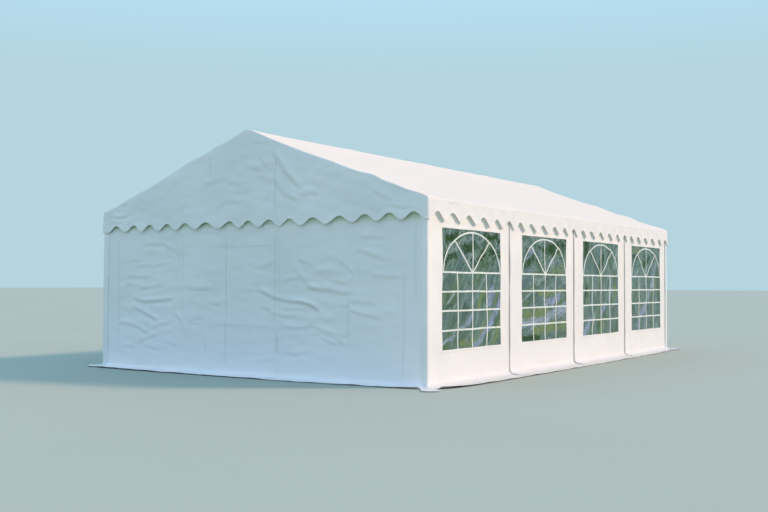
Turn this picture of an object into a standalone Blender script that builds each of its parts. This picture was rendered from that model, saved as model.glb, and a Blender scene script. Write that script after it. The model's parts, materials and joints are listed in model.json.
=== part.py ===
"""A party marquee, 5 m by 8 m: a steel pole frame in four bays, a welded PVC cover and window walls.

Metres, +Z up. The origin is on the ground at the middle of the plan. The ridge runs along Y, and the front
gable faces -Y.
"""

import math

import bmesh
import bpy
from mathutils import Matrix, Vector

# Pole frame
BAY_COUNT = 4
BAY_PITCH = 2.0
FRAME_WIDTH = 5.0
EAVE_AXIS_HEIGHT = 2.04
ROOF_PITCH = math.radians(20)
POLE_RADIUS = 0.019
POLE_SIDES = 16
SLEEVE_WALL = 0.002
SLEEVE_REACH = 0.12
SLEEVE_CLEARANCE = 0.0005
SOCKET_STOP = 0.026
SOCKET_TURN = math.radians(5)
HUB_REACH = 0.06
ROOF_PURLIN_OFFSET = 1.25
SMOOTH_ANGLE = math.radians(40)
FOOT_PLATE_SIDE = 0.12
FOOT_PLATE_THICKNESS = 0.004

# PVC sheets, drawn thicker than the real 0.5 mm
SHEET_THICKNESS = 0.004
SEAT_GAP = 0.0003
VALANCE_STANDOFF = 0.02
VALANCE_DROP = 0.256
SCALLOP_DEPTH = 0.1
SCALLOP_SPACING = 0.3335
SCALLOP_STEPS = 8
GABLE_FIRST_SCALLOP = 0.285
SIDE_FIRST_SCALLOP = 0.245

# Walls, with the flap that lies on the ground
FLAP_REACH = 0.31
FLAP_BEND_RADIUS = 0.08
FLAP_BEND_STEPS = 5
WINDOW_WIDTH = 1.4
WINDOW_HEIGHT = 1.35
WINDOW_SILL = 0.385
PANE_LAP = 0.02
PANE_THICKNESS = 0.002
DOOR_WIDTH = 0.8
DOOR_HEAD_DROP = 0.145
DOOR_OFFSET = 0.065
GABLE_WALL_LAP = 0.012

# Worked out from the sizes above
HALF_WIDTH = FRAME_WIDTH / 2
HALF_LENGTH = BAY_COUNT * BAY_PITCH / 2
SLOPE = math.tan(ROOF_PITCH)
COS_PITCH = math.cos(ROOF_PITCH)
SIN_PITCH = math.sin(ROOF_PITCH)
RIDGE_AXIS_HEIGHT = EAVE_AXIS_HEIGHT + HALF_WIDTH * SLOPE
BORE_RADIUS = POLE_RADIUS + SLEEVE_CLEARANCE
SLEEVE_RADIUS = BORE_RADIUS + SLEEVE_WALL
HUB_RADIUS = SLEEVE_RADIUS + SLEEVE_WALL
WALL_INSIDE = HUB_RADIUS + SEAT_GAP
WALL_OUTSIDE = WALL_INSIDE + SHEET_THICKNESS
VALANCE_INSIDE = WALL_OUTSIDE + VALANCE_STANDOFF
VALANCE_OUTSIDE = VALANCE_INSIDE + SHEET_THICKNESS
COVER_HALF_WIDTH = HALF_WIDTH + VALANCE_OUTSIDE
COVER_HALF_LENGTH = HALF_LENGTH + VALANCE_OUTSIDE
COVER_UNDERSIDE_RISE = (HUB_RADIUS + SEAT_GAP) / COS_PITCH
COVER_TOP_RISE = COVER_UNDERSIDE_RISE + SHEET_THICKNESS / COS_PITCH
SIDES = {"left": -1, "right": 1}
ENDS = {"front": 0.0, "rear": math.pi}


def rafter_axis_height(x):
    """Height of the rafters' centre line at the distance x from the middle of the plan."""
    return RIDGE_AXIS_HEIGHT - abs(x) * SLOPE


DOOR_HEIGHT = EAVE_AXIS_HEIGHT - DOOR_HEAD_DROP
COVER_EDGE_HEIGHT = rafter_axis_height(COVER_HALF_WIDTH) + COVER_UNDERSIDE_RISE
VALANCE_FOOT = COVER_EDGE_HEIGHT - VALANCE_DROP


def clear_scene():
    for obj in list(bpy.data.objects):
        bpy.data.objects.remove(obj, do_unlink=True)


def new_collection(name):
    collection = bpy.data.collections.new(name)
    bpy.context.scene.collection.children.link(collection)
    return collection


def new_material(name, colour, roughness, metallic=0.0, alpha=1.0):
    material = bpy.data.materials.new(name)
    material.use_nodes = True
    shader = material.node_tree.nodes["Principled BSDF"]
    shader.inputs["Base Color"].default_value = (*colour, 1.0)
    shader.inputs["Roughness"].default_value = roughness
    shader.inputs["Metallic"].default_value = metallic
    shader.inputs["Alpha"].default_value = alpha
    return material


def link_mesh(name, mesh, material):
    """A part, or a hidden tool when it has no material."""
    obj = bpy.data.objects.new(name, mesh)
    if material is None:
        tools.objects.link(obj)
        obj.hide_render = True
        obj.display_type = "WIRE"
        return obj
    parts.objects.link(obj)
    mesh.materials.append(material)
    return obj


def mesh_from(bm, name):
    bmesh.ops.recalc_face_normals(bm, faces=bm.faces)
    mesh = bpy.data.meshes.new(name)
    bm.to_mesh(mesh)
    bm.free()
    return mesh


def box(name, low, high, material=None):
    """A block between two corners."""
    low, high = Vector(low), Vector(high)
    bm = bmesh.new()
    bmesh.ops.create_cube(bm, size=1.0)
    bmesh.ops.scale(bm, vec=high - low, verts=bm.verts)
    obj = link_mesh(name, mesh_from(bm, name), material)
    obj.location = (low + high) / 2
    return obj


def pole(name, start, end, radius, material=None, turn=0.0):
    """A round bar from one point to another, with its facets turned about its axis."""
    start, end = Vector(start), Vector(end)
    bm = bmesh.new()
    bmesh.ops.create_cone(
        bm,
        cap_ends=True,
        segments=POLE_SIDES,
        radius1=radius,
        radius2=radius,
        depth=(end - start).length,
    )
    bmesh.ops.rotate(bm, verts=bm.verts, cent=(0, 0, 0), matrix=Matrix.Rotation(turn, 3, "Z"))
    mesh = mesh_from(bm, name)
    mesh.shade_smooth()
    mesh.set_sharp_from_angle(angle=SMOOTH_ANGLE)
    obj = link_mesh(name, mesh, material)
    obj.location = (start + end) / 2
    obj.rotation_euler = (end - start).to_track_quat("Z", "Y").to_euler()
    return obj


def apply_boolean(obj, operation, others):
    for other in others:
        modifier = obj.modifiers.new(f"{operation.lower()} {other.name}", "BOOLEAN")
        modifier.operation = operation
        modifier.object = other


def outline_plate(name, points, facing, distance, thickness, material):
    """A flat upright plate from its outline, as it is seen from outside.

    It faces the way that facing says, in turns about Z from -Y. Its middle is at distance from the origin.
    """
    curve = bpy.data.curves.new(name, "CURVE")
    curve.dimensions = "2D"
    curve.fill_mode = "BOTH"
    curve.extrude = thickness / 2
    spline = curve.splines.new("POLY")
    spline.points.add(len(points) - 1)
    for point, (u, v) in zip(spline.points, points):
        point.co = (u, v, 0, 1)
    spline.use_cyclic_u = True
    curve.materials.append(material)
    obj = bpy.data.objects.new(name, curve)
    parts.objects.link(obj)
    obj.rotation_euler = (math.pi / 2, 0, facing)
    obj.location = (distance * math.sin(facing), -distance * math.cos(facing), 0)
    return obj


def scalloped_edge(half_length, first_arch):
    """Points along a valance's lower edge, from -half_length to half_length.

    The edge is an even wave. Its first arch is highest at first_arch from the end that comes first.
    """
    step = SCALLOP_SPACING / SCALLOP_STEPS
    distances = [0.0]
    distance = first_arch % step
    while distance < 2 * half_length - SEAT_GAP:
        if distance > SEAT_GAP:
            distances.append(distance)
        distance += step
    distances.append(2 * half_length)
    points = []
    for distance in distances:
        turn = math.tau * (distance - first_arch) / SCALLOP_SPACING
        lift = SCALLOP_DEPTH * (1 + math.cos(turn)) / 2
        points.append((distance - half_length, VALANCE_FOOT + lift))
    return points


def fuse_and_bore(obj, bodies, bores):
    """Joins bodies to the object one after another, and then cuts the bores."""
    apply_boolean(obj, "UNION", bodies)
    apply_boolean(obj, "DIFFERENCE", bores)


def frame_y(number):
    """Where frame number 0, 1, 2 ... stands along the tent."""
    return number * BAY_PITCH - HALF_LENGTH


def socket(node, direction):
    """The outside and the bore of a socket that takes a pole's end, pointing away from a frame's node."""
    outside = pole("socket", node, node + direction * SLEEVE_REACH, SLEEVE_RADIUS, turn=SOCKET_TURN)
    stop = node + direction * SOCKET_STOP
    mouth = node + direction * (SLEEVE_REACH + POLE_RADIUS)
    return outside, pole("socket bore", stop, mouth, BORE_RADIUS)


def make_socketed_purlin(name, x, z, directions, material):
    """A run of pole along Y with a hub at each frame, and on each hub a socket in every given direction."""
    line = pole(name, (x, -HALF_LENGTH, z), (x, HALF_LENGTH, z), POLE_RADIUS, material)
    bodies = []
    bores = []
    hub_end = HALF_LENGTH + HUB_RADIUS
    for number in range(BAY_COUNT + 1):
        y = frame_y(number)
        hub_front = max(y - HUB_REACH, -hub_end)
        hub_rear = min(y + HUB_REACH, hub_end)
        bodies.append(pole("hub", (x, hub_front, z), (x, hub_rear, z), HUB_RADIUS))
        for direction in directions:
            outside, bore = socket(Vector((x, y, z)), direction)
            bodies.append(outside)
            bores.append(bore)
    fuse_and_bore(line, bodies, bores)


def make_ridge_and_eaves(material):
    """The ridge and the two eave purlins, with the sockets of the rafters and legs."""
    down = Vector((0, 0, -1))
    towards_eave = {name: Vector((side * COS_PITCH, 0, -SIN_PITCH)) for name, side in SIDES.items()}
    make_socketed_purlin("ridge_purlin", 0, RIDGE_AXIS_HEIGHT, list(towards_eave.values()), material)
    for name, side in SIDES.items():
        directions = [down, -towards_eave[name]]
        make_socketed_purlin(f"eave_purlin_{name}", side * HALF_WIDTH, EAVE_AXIS_HEIGHT, directions, material)


def make_roof_purlins(material):
    """The purlins half-way up each slope, with a cross sleeve that each rafter runs through."""
    for name, side in SIDES.items():
        x = side * ROOF_PURLIN_OFFSET
        z = rafter_axis_height(x)
        line = pole(f"roof_purlin_{name}", (x, -HALF_LENGTH, z), (x, HALF_LENGTH, z), POLE_RADIUS, material)
        along = Vector((side * COS_PITCH, 0, -SIN_PITCH))
        sleeves = []
        bores = []
        for number in range(BAY_COUNT + 1):
            node = Vector((x, frame_y(number), z))
            sleeve_end = along * SLEEVE_REACH
            bore_end = along * (SLEEVE_REACH + POLE_RADIUS)
            sleeves.append(pole("cross sleeve", node - sleeve_end, node + sleeve_end, SLEEVE_RADIUS))
            bores.append(pole("cross bore", node - bore_end, node + bore_end, BORE_RADIUS))
        fuse_and_bore(line, sleeves, bores)


def make_rafters(material):
    """Rafters from the eaves' sockets to the ridge's."""
    for name, side in SIDES.items():
        eave = Vector((side * HALF_WIDTH, 0, EAVE_AXIS_HEIGHT))
        ridge = Vector((0, 0, RIDGE_AXIS_HEIGHT))
        end_gap = (ridge - eave).normalized() * (SOCKET_STOP + SEAT_GAP)
        for number in range(BAY_COUNT + 1):
            along_tent = Vector((0, frame_y(number), 0))
            start = eave + end_gap + along_tent
            end = ridge - end_gap + along_tent
            pole(f"rafter_{name}_{number + 1}", start, end, POLE_RADIUS, material)


def make_legs(material):
    """Legs with welded foot plates, each pushed up into its socket."""
    leg_top = EAVE_AXIS_HEIGHT - SOCKET_STOP - SEAT_GAP
    half_plate = FOOT_PLATE_SIDE / 2
    for name, side in SIDES.items():
        x = side * HALF_WIDTH
        for number in range(BAY_COUNT + 1):
            y = frame_y(number)
            plate_low = (x - half_plate, y - half_plate, 0)
            plate_high = (x + half_plate, y + half_plate, FOOT_PLATE_THICKNESS)
            plate = box("foot plate", plate_low, plate_high)
            leg_foot = (x, y, FOOT_PLATE_THICKNESS / 2)
            leg = pole(f"leg_{name}_{number + 1}", leg_foot, (x, y, leg_top), POLE_RADIUS, material)
            apply_boolean(leg, "UNION", [plate])


def make_roof_sheets(material):
    """One sheet down each slope, meeting at the ridge and ending over the valances."""
    for side_name, side in SIDES.items():
        inner_x = SEAT_GAP
        outline = []
        for x, rise in (
            (inner_x, COVER_TOP_RISE),
            (inner_x, COVER_UNDERSIDE_RISE),
            (COVER_HALF_WIDTH, COVER_UNDERSIDE_RISE),
            (COVER_HALF_WIDTH, COVER_TOP_RISE),
        ):
            outline.append((side * x, rafter_axis_height(x) + rise))
        outline_plate(f"roof_sheet_{side_name}", outline, 0, 0, 2 * COVER_HALF_LENGTH, material)


def make_side_valances(material):
    """The scalloped strips along both eaves, between the two gables."""
    half_length = HALF_LENGTH + VALANCE_INSIDE - SEAT_GAP
    top = COVER_EDGE_HEIGHT - SEAT_GAP
    first_arch = SIDE_FIRST_SCALLOP - (COVER_HALF_LENGTH - half_length)
    outline = [(-half_length, top), *scalloped_edge(half_length, first_arch), (half_length, top)]
    middle = HALF_WIDTH + (VALANCE_INSIDE + VALANCE_OUTSIDE) / 2
    for name, side in SIDES.items():
        outline_plate(f"valance_{name}", outline, side * math.pi / 2, middle, SHEET_THICKNESS, material)


def make_gables(material):
    """The cover's end panels: a triangle under the roof edge with a scalloped foot."""
    top_rise = COVER_UNDERSIDE_RISE - SEAT_GAP
    outline = [
        *scalloped_edge(COVER_HALF_WIDTH, GABLE_FIRST_SCALLOP),
        (COVER_HALF_WIDTH, rafter_axis_height(COVER_HALF_WIDTH) + top_rise),
        (0, RIDGE_AXIS_HEIGHT + top_rise),
        (-COVER_HALF_WIDTH, rafter_axis_height(COVER_HALF_WIDTH) + top_rise),
    ]
    middle = HALF_LENGTH + (VALANCE_INSIDE + VALANCE_OUTSIDE) / 2
    for name, facing in ENDS.items():
        outline_plate(f"gable_{name}", outline, facing, middle, SHEET_THICKNESS, material)


def wall_profile(top):
    """(distance out, height) down the wall's inner face, round the bend and out along the ground."""
    points = [(0, top)]
    for step in range(FLAP_BEND_STEPS + 1):
        angle = math.pi / 2 * step / FLAP_BEND_STEPS
        out = FLAP_BEND_RADIUS * (1 - math.cos(angle))
        height = FLAP_BEND_RADIUS * (1 - math.sin(angle))
        points.append((out, height))
    points.append((SHEET_THICKNESS + FLAP_REACH, 0))
    return points


def wall_surface(top, low, high, corner_reach=0.0):
    """An open wall surface: its width runs along X from low to high, and its flap lies towards -Y from Y = 0.

    With a corner reach, the flat of the flap runs on past both ends of the wall.
    """
    bm = bmesh.new()
    rows = [[bm.verts.new((x, -out, height)) for out, height in wall_profile(top)] for x in (low, high)]
    for above in range(len(rows[0]) - 1):
        bm.faces.new((rows[0][above], rows[0][above + 1], rows[1][above + 1], rows[1][above]))
    if corner_reach:
        for row, x in ((rows[0], low - corner_reach), (rows[1], high + corner_reach)):
            ends = [bm.verts.new((x, vert.co.y, 0)) for vert in row[-2:]]
            bm.faces.new((row[-2], row[-1], ends[1], ends[0]))
    bmesh.ops.recalc_face_normals(bm, faces=bm.faces)
    if bm.faces[0].normal.y > 0:
        bmesh.ops.reverse_faces(bm, faces=bm.faces)
    return bm


def add_sheet_thickness(obj):
    """Thickens an open surface towards the side that its normals face."""
    modifier = obj.modifiers.new("sheet", "SOLIDIFY")
    modifier.thickness = SHEET_THICKNESS
    modifier.offset = 1.0
    modifier.use_even_offset = True


def surface_mesh(bm, name):
    mesh = bpy.data.meshes.new(name)
    bm.to_mesh(mesh)
    bm.free()
    return mesh


def place_wall(obj, facing, distance, along=0.0):
    """Turns a piece made facing -Y, and sets it at distance from the origin and along to the right of it."""
    turn = Matrix.Rotation(facing, 4, "Z")
    obj.matrix_basis = turn @ Matrix.Translation((along, -distance, 0)) @ obj.matrix_basis


def make_side_wall(name, facing, bay_middle, low, high, material):
    """A wall panel with its window cut through, from low to high beside the middle of its bay."""
    distance = HALF_WIDTH + WALL_INSIDE
    wall = link_mesh(name, surface_mesh(wall_surface(EAVE_AXIS_HEIGHT, low, high), name), material)
    place_wall(wall, facing, distance, bay_middle)
    add_sheet_thickness(wall)
    hole = box(
        "window hole",
        (-WINDOW_WIDTH / 2, -FLAP_BEND_RADIUS, WINDOW_SILL),
        (WINDOW_WIDTH / 2, FLAP_BEND_RADIUS, WINDOW_SILL + WINDOW_HEIGHT),
    )
    place_wall(hole, facing, distance, bay_middle)
    apply_boolean(wall, "DIFFERENCE", [hole])


def make_pane(name, facing, bay_middle, material):
    """A clear pane, lapped behind the edges of its window."""
    reach = WINDOW_WIDTH / 2 + PANE_LAP
    pane = box(
        name,
        (-reach, SEAT_GAP, WINDOW_SILL - PANE_LAP),
        (reach, SEAT_GAP + PANE_THICKNESS, WINDOW_SILL + WINDOW_HEIGHT + PANE_LAP),
        material,
    )
    place_wall(pane, facing, HALF_WIDTH + WALL_INSIDE, bay_middle)


def make_sides(wall_material, pane_material):
    """A window panel and its pane for each bay and side. The outer panels reach into the corners."""
    joint_reach = BAY_PITCH / 2 - SEAT_GAP / 2
    corner_reach = BAY_PITCH / 2 + WALL_INSIDE - SEAT_GAP
    for side_name, side in SIDES.items():
        facing = side * math.pi / 2
        for number in range(BAY_COUNT):
            front_reach = corner_reach if number == 0 else joint_reach
            rear_reach = corner_reach if number == BAY_COUNT - 1 else joint_reach
            low, high = (-front_reach, rear_reach) if side > 0 else (-rear_reach, front_reach)
            bay_middle = side * (frame_y(number) + BAY_PITCH / 2)
            bay = f"{side_name}_{number + 1}"
            make_side_wall(f"side_wall_{bay}", facing, bay_middle, low, high, wall_material)
            make_pane(f"window_{bay}", facing, bay_middle, pane_material)


def cut_to_rafters(bm, apex):
    """Trims a wall surface along both slopes, down from its apex."""
    for side in SIDES.values():
        bmesh.ops.bisect_plane(
            bm,
            geom=[*bm.verts, *bm.edges, *bm.faces],
            plane_co=(0, 0, apex),
            plane_no=(side * SIN_PITCH, 0, COS_PITCH),
            clear_outer=True,
        )


def make_ends(material):
    """The gable walls, each with a doorway and the zipped flap that closes it."""
    half_wall = HALF_WIDTH + WALL_OUTSIDE
    distance = HALF_LENGTH + WALL_INSIDE
    apex = RIDGE_AXIS_HEIGHT + GABLE_WALL_LAP
    door_low = DOOR_OFFSET - DOOR_WIDTH / 2
    door_high = DOOR_OFFSET + DOOR_WIDTH / 2
    past_flap = SHEET_THICKNESS + FLAP_REACH + FLAP_BEND_RADIUS
    for name, facing in ENDS.items():
        bm = wall_surface(apex, -half_wall, half_wall, corner_reach=FLAP_REACH)
        cut_to_rafters(bm, apex)
        wall = link_mesh(f"{name}_wall", surface_mesh(bm, name), material)
        place_wall(wall, facing, distance)
        add_sheet_thickness(wall)
        doorway = box(
            "doorway",
            (door_low, -past_flap, -FLAP_BEND_RADIUS),
            (door_high, FLAP_BEND_RADIUS, DOOR_HEIGHT),
        )
        place_wall(doorway, facing, distance)
        apply_boolean(wall, "DIFFERENCE", [doorway])

        surface = wall_surface(DOOR_HEIGHT - SEAT_GAP, door_low + SEAT_GAP, door_high - SEAT_GAP)
        flap = link_mesh(f"{name}_door_flap", surface_mesh(surface, name), material)
        place_wall(flap, facing, distance)
        add_sheet_thickness(flap)


clear_scene()
parts = new_collection("party_marquee")
tools = new_collection("cutters")
galvanised_steel = new_material("galvanised steel", (0.62, 0.64, 0.66), 0.38, metallic=1.0)
white_pvc = new_material("white PVC", (0.88, 0.89, 0.9), 0.42)
clear_pvc = new_material("clear PVC", (0.75, 0.84, 0.86), 0.08, alpha=0.35)

make_legs(galvanised_steel)
make_ridge_and_eaves(galvanised_steel)
make_roof_purlins(galvanised_steel)
make_rafters(galvanised_steel)
make_roof_sheets(white_pvc)
make_side_valances(white_pvc)
make_gables(white_pvc)
make_sides(white_pvc, clear_pvc)
make_ends(white_pvc)
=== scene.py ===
import json
import math

import bpy
import numpy as np
from mathutils import Euler, Matrix, Vector

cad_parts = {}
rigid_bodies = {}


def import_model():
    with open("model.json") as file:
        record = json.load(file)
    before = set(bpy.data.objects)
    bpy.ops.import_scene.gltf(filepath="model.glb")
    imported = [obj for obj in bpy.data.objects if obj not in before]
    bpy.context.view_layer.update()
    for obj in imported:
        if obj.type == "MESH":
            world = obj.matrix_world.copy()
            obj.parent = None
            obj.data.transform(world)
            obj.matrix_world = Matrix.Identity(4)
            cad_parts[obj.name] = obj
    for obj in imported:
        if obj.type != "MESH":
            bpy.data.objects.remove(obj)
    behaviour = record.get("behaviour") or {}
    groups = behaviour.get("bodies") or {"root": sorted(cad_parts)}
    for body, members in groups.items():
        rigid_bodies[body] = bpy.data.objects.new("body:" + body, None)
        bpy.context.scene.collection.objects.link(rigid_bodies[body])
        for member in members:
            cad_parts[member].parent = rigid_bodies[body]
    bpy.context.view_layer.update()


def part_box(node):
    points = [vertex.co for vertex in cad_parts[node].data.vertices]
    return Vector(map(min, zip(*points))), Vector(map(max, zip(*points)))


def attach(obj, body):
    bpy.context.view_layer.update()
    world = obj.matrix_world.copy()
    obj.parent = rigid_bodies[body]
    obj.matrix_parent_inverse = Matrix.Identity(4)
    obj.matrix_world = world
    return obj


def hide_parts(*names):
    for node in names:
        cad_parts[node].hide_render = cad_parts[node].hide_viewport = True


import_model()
print("marquee: frame loaded")

# Measures that everything is hung from, read off the frame, in metres
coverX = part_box("valance_right")[1].x
coverY = -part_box("gable_front")[0].y
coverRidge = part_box("roof_sheet_right")[1].z
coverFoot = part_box("valance_right")[0].z
roofPitch = math.radians(20)
plateThickness = 0.004         # of the frame's wall plates
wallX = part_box("side_wall_right_2")[0].x + plateThickness
wallY = -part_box("front_wall")[1].y + plateThickness
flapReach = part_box("side_wall_right_2")[1].x - wallX
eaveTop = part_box("side_wall_right_2")[1].z
legNames = [f"leg_right_{count}" for count in range(1, 6)]
frameLines = [(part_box(name)[0].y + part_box(name)[1].y) / 2 for name in legNames]
bayLength = frameLines[1] - frameLines[0]
poleLines = [0.0, 1.25, 2.5]   # ridge, roof and eave poles, right of the middle
paneLap = 0.02
sideLaps = [0.015, 0.065, 0.049, 0.033]      # how far each side panel starts before its frame
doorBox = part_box("front_door_flap")


# Camera, lights and floor

view = {
    "place": (8.0906, -13.292, 1.1085),
    "turn": -33.4231,          # degrees from +Y towards +X
    "tilt": 1.6094,
    "roll": 0.1598,
    "lens": 47.267,
    "sunFrom": (0.677, 0.465, 0.569),
    "sunSize": 9.0,            # degrees, for soft shadow edges
    "sunColour": (1.0, 0.642, 0.442),
    "sunStrength": 3.2,
    "skyHaze": (0.46, 0.66, 0.74),
    "skyLow": (0.45, 0.80, 1.00),
    "skyHigh": (0.73, 1.04, 1.38),
}


def addCamera():
    bpy.ops.object.camera_add(location=view["place"])
    camera = bpy.context.object
    camera.name = "photoCamera"
    camera.data.lens = view["lens"]
    camera.data.sensor_width = 36
    camera.data.clip_end = 900
    level = Euler((math.radians(90 + view["tilt"]), 0, math.radians(-view["turn"]))).to_matrix()
    turned = level @ Matrix.Rotation(math.radians(view["roll"]), 3, "Z")
    camera.rotation_euler = turned.to_euler()
    bpy.context.scene.camera = camera


addCamera()


# Materials

class Wire:
    # one socket of a material, and arithmetic on it adds Math nodes

    def __init__(self, tree, socket=None):
        self.tree = tree
        self.socket = socket

    def node(self, kind, settings=None, inputs=None, output=0):
        made = self.tree.nodes.new("ShaderNode" + kind)
        for name, value in (settings or {}).items():
            if name == "stops":
                self.setStops(made.color_ramp, value)
            else:
                setattr(made, name, value)
        for name, value in (inputs or {}).items():
            if isinstance(value, Wire):
                self.tree.links.new(value.socket, made.inputs[name])
            else:
                made.inputs[name].default_value = value
        return Wire(self.tree, made.outputs[output])

    def setStops(self, ramp, stops):
        while len(ramp.elements) < len(stops):
            ramp.elements.new(1.0)
        for element, (place, colour) in zip(ramp.elements, stops):
            element.position = place
            element.color = colour

    def maths(self, operation, first, second=0.0):
        return self.node("Math", {"operation": operation}, {0: first, 1: second})

    def __add__(self, other):
        return self.maths("ADD", self, other)

    def __radd__(self, other):
        return self.maths("ADD", other, self)

    def __sub__(self, other):
        return self.maths("SUBTRACT", self, other)

    def __rsub__(self, other):
        return self.maths("SUBTRACT", other, self)

    def __mul__(self, other):
        return self.maths("MULTIPLY", self, other)

    def __rmul__(self, other):
        return self.maths("MULTIPLY", other, self)

    def __truediv__(self, other):
        return self.maths("DIVIDE", self, other)

    def __abs__(self):
        return self.maths("ABSOLUTE", self)


def newFinish(name):
    # an empty material with its Principled shader, and a wire to start from
    finish = bpy.data.materials.new(name)
    finish.use_nodes = True
    tree = finish.node_tree
    return finish, tree.nodes["Principled BSDF"], Wire(tree)


def feed(wire, shader, sockets):
    for name, value in sockets.items():
        if isinstance(value, Wire):
            wire.tree.links.new(value.socket, shader.inputs[name])
        else:
            shader.inputs[name].default_value = value


def blendColour(wire, share, first, second):
    # colours go through a Mix node, which keeps them coloured
    return wire.node("Mix", {"data_type": "RGBA"}, {0: share, 6: first, 7: second}, output=2)


def noiseAt(wire, place, scale, detail=3.0, rough=0.5):
    settings = {"Vector": place, "Scale": scale, "Detail": detail, "Roughness": rough}
    return wire.node("TexNoise", {}, settings)


def bumpFrom(wire, height, strength):
    return wire.node("Bump", {}, {"Height": height, "Strength": strength, "Distance": 1.0})


def placeParts(wire):
    # the Object coordinates, whole and by axis
    place = wire.node("TexCoord", output=3)
    parts = wire.node("SeparateXYZ", {}, {0: place}).socket.node.outputs
    return place, *(Wire(wire.tree, parts[axis]) for axis in range(3))


def stretch(wire, place, amounts):
    return wire.node("Mapping", {}, {"Vector": place, "Scale": amounts})


def ramp(wire, value, low, high):
    # 0 below low, 1 above high
    return wire.node("MapRange", {"clamp": True}, {"Value": value, "From Min": low, "From Max": high})


vinyl = {
    "white": (0.915, 0.905, 0.885, 1),
    "shade": (0.84, 0.845, 0.825, 1),
    # painted light and shade by height: the gable walls lighter and bluer low down, the side walls lighter
    # high up and darker low down
    "gableFootPaintedLight": (0.985, 0.94, 0.97, 1),
    "sideUpperPaintedLight": (0.97, 0.95, 0.935, 1),
    "sideFootPaintedShade": (0.89, 0.89, 0.885, 1),
    "dust": (0.66, 0.66, 0.61, 1),
    "dustShare": 0.18,
    # painted shade for the roof, the roll at the eave and the flap, on faces that look up
    "roof": (0.845, 0.738, 0.65, 1),
    "roll": (0.83, 0.79, 0.76, 1),
    "flap": (0.70, 0.705, 0.71, 1),
    "seamShade": (0.42, 0.46, 0.44, 1),
    "lapBand": (0.80, 0.74, 0.72, 1),
    "lapBandInset": 0.005,        # from a panel's lapped edge to the middle of its band
    # under the valance: painted green-grey shade for the gables, painted yellow-green light for the sides
    "valanceGreenShade": (0.50, 0.66, 0.36, 1),
    "valanceGreenShadeTop": 1.93,
    "valanceTintLight": (0.95, 0.975, 0.86, 1),
    "valanceTintLightTop": 2.0,
    "bandFade": 0.06,
    "bandShare": 0.85,
    # painted light: the single layer over the eaves is painted nearly white
    "thin": (1.0, 0.998, 0.995, 1),
    "thinThrough": 0.22,
    "glow": (0.92, 0.91, 0.88, 1),
    "through": 0.18,
    "eaveShadeBoost": 0.28,
    "sheenLow": 0.36,
    "sheenHigh": 0.52,
    "weavePitch": 0.0035,
    "weaveSlant": 0.36,
    "weaveHeight": 0.00006,
    "hairlineScale": 2.6,
    "hairlineHeight": 0.0012,
    "scuffHeight": 0.0008,
    "cloudHeight": 0.004,
    "bump": 0.55,
    "markCore": 0.3,
    "markEnd": 0.09,
}
# what each mask fades in over: metres, or how far the face looks up, from 0 to 1
span = {
    "dustHeight": (0.0, 0.16),
    "paintedLightByHeight": (0.0, 1.3),
    "bandFoot": (1.79, 1.875),
    "eaveFace": (2.50, 2.53),
    "eaveFoot": (2.02, 2.05),
    "lapBandHalf": (0.006, 0.008),
    "sideFace": (2.50, 2.51),
    "gableFace": (3.98, 4.01),
    "nearEave": (2.3, 2.5),
    "roofFacing": (0.55, 0.9),
    "roofHeight": (1.0, 1.5),
    "rollStart": (0.12, 0.35),
    "rollEnd": (0.7, 0.88),
    "rollFace": (2.49, 2.52),
    "flapFacing": (0.1, 0.75),
    "flapHeight": (0.12, 0.2),
}
# painted shade along the seams and old storage folds of the gables: way, place, from, to, half width,
# darkness
wallMarks = [
    ("upright", -2.245, 0.15, 1.75, 0.016, 0.16), ("upright", -1.16, 0.70, 1.75, 0.012, 0.10),
    ("upright", -1.08, 0.65, 1.75, 0.014, 0.13), ("upright", -0.69, 0.18, 0.46, 0.024, 0.13),
    ("upright", -0.345, 0.08, 1.76, 0.017, 0.19), ("upright", 0.43, 0.62, 1.76, 0.017, 0.17),
    ("upright", 0.462, 0.25, 0.56, 0.022, 0.26), ("upright", 1.50, 0.43, 1.01, 0.018, 0.18),
    ("upright", 2.235, 0.06, 1.30, 0.018, 0.15), ("upright", 2.392, 0.90, 1.85, 0.020, 0.14),
    ("level", 1.565, -0.75, 0.42, 0.018, 0.12), ("level", 0.605, -1.05, 0.40, 0.015, 0.13),
    ("level", 1.035, -1.45, -0.40, 0.014, 0.07), ("level", 0.27, -0.65, 0.35, 0.022, 0.08),
]
# painted shade along seams and folds at the cover's gable ends, in the same columns
coverMarks = [
    ("upright", -0.60, 2.38, 2.74, 0.022, 0.16), ("upright", 0.45, 1.93, 2.64, 0.018, 0.22),
    ("upright", -1.33, 1.98, 2.22, 0.020, 0.09), ("level", 2.795, 0.10, 0.46, 0.012, 0.12),
]


def paintedLineShade(wire, right, z, marks):
    total = 0
    for way, place, low, high, width, darkness in marks:
        beside, along = (right, z) if way == "upright" else (z, right)
        line = 1 - ramp(wire, abs(beside - place), width * vinyl["markCore"], width)
        start = ramp(wire, along, low, low + vinyl["markEnd"])
        total = line * (start * (1 - ramp(wire, along, high - vinyl["markEnd"], high))) * darkness + total
    return total


def dustyWhiteWithPaintedLight(wire, place, z, clouds, high, low):
    # cloudy white with light and shade painted in by height where its two tones differ, and a little dust at
    # the foot
    patches = ramp(wire, noiseAt(wire, place, 3.0, 5.0, 0.65), 0.42, 0.72)
    foot = (1 - ramp(wire, z, *span["dustHeight"])) * patches
    tone = blendColour(wire, ramp(wire, clouds, 0.35, 0.7), high, vinyl["shade"])
    tone = blendColour(wire, ramp(wire, z, *span["paintedLightByHeight"]), low, tone)
    return blendColour(wire, foot * vinyl["dustShare"], tone, vinyl["dust"])


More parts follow.
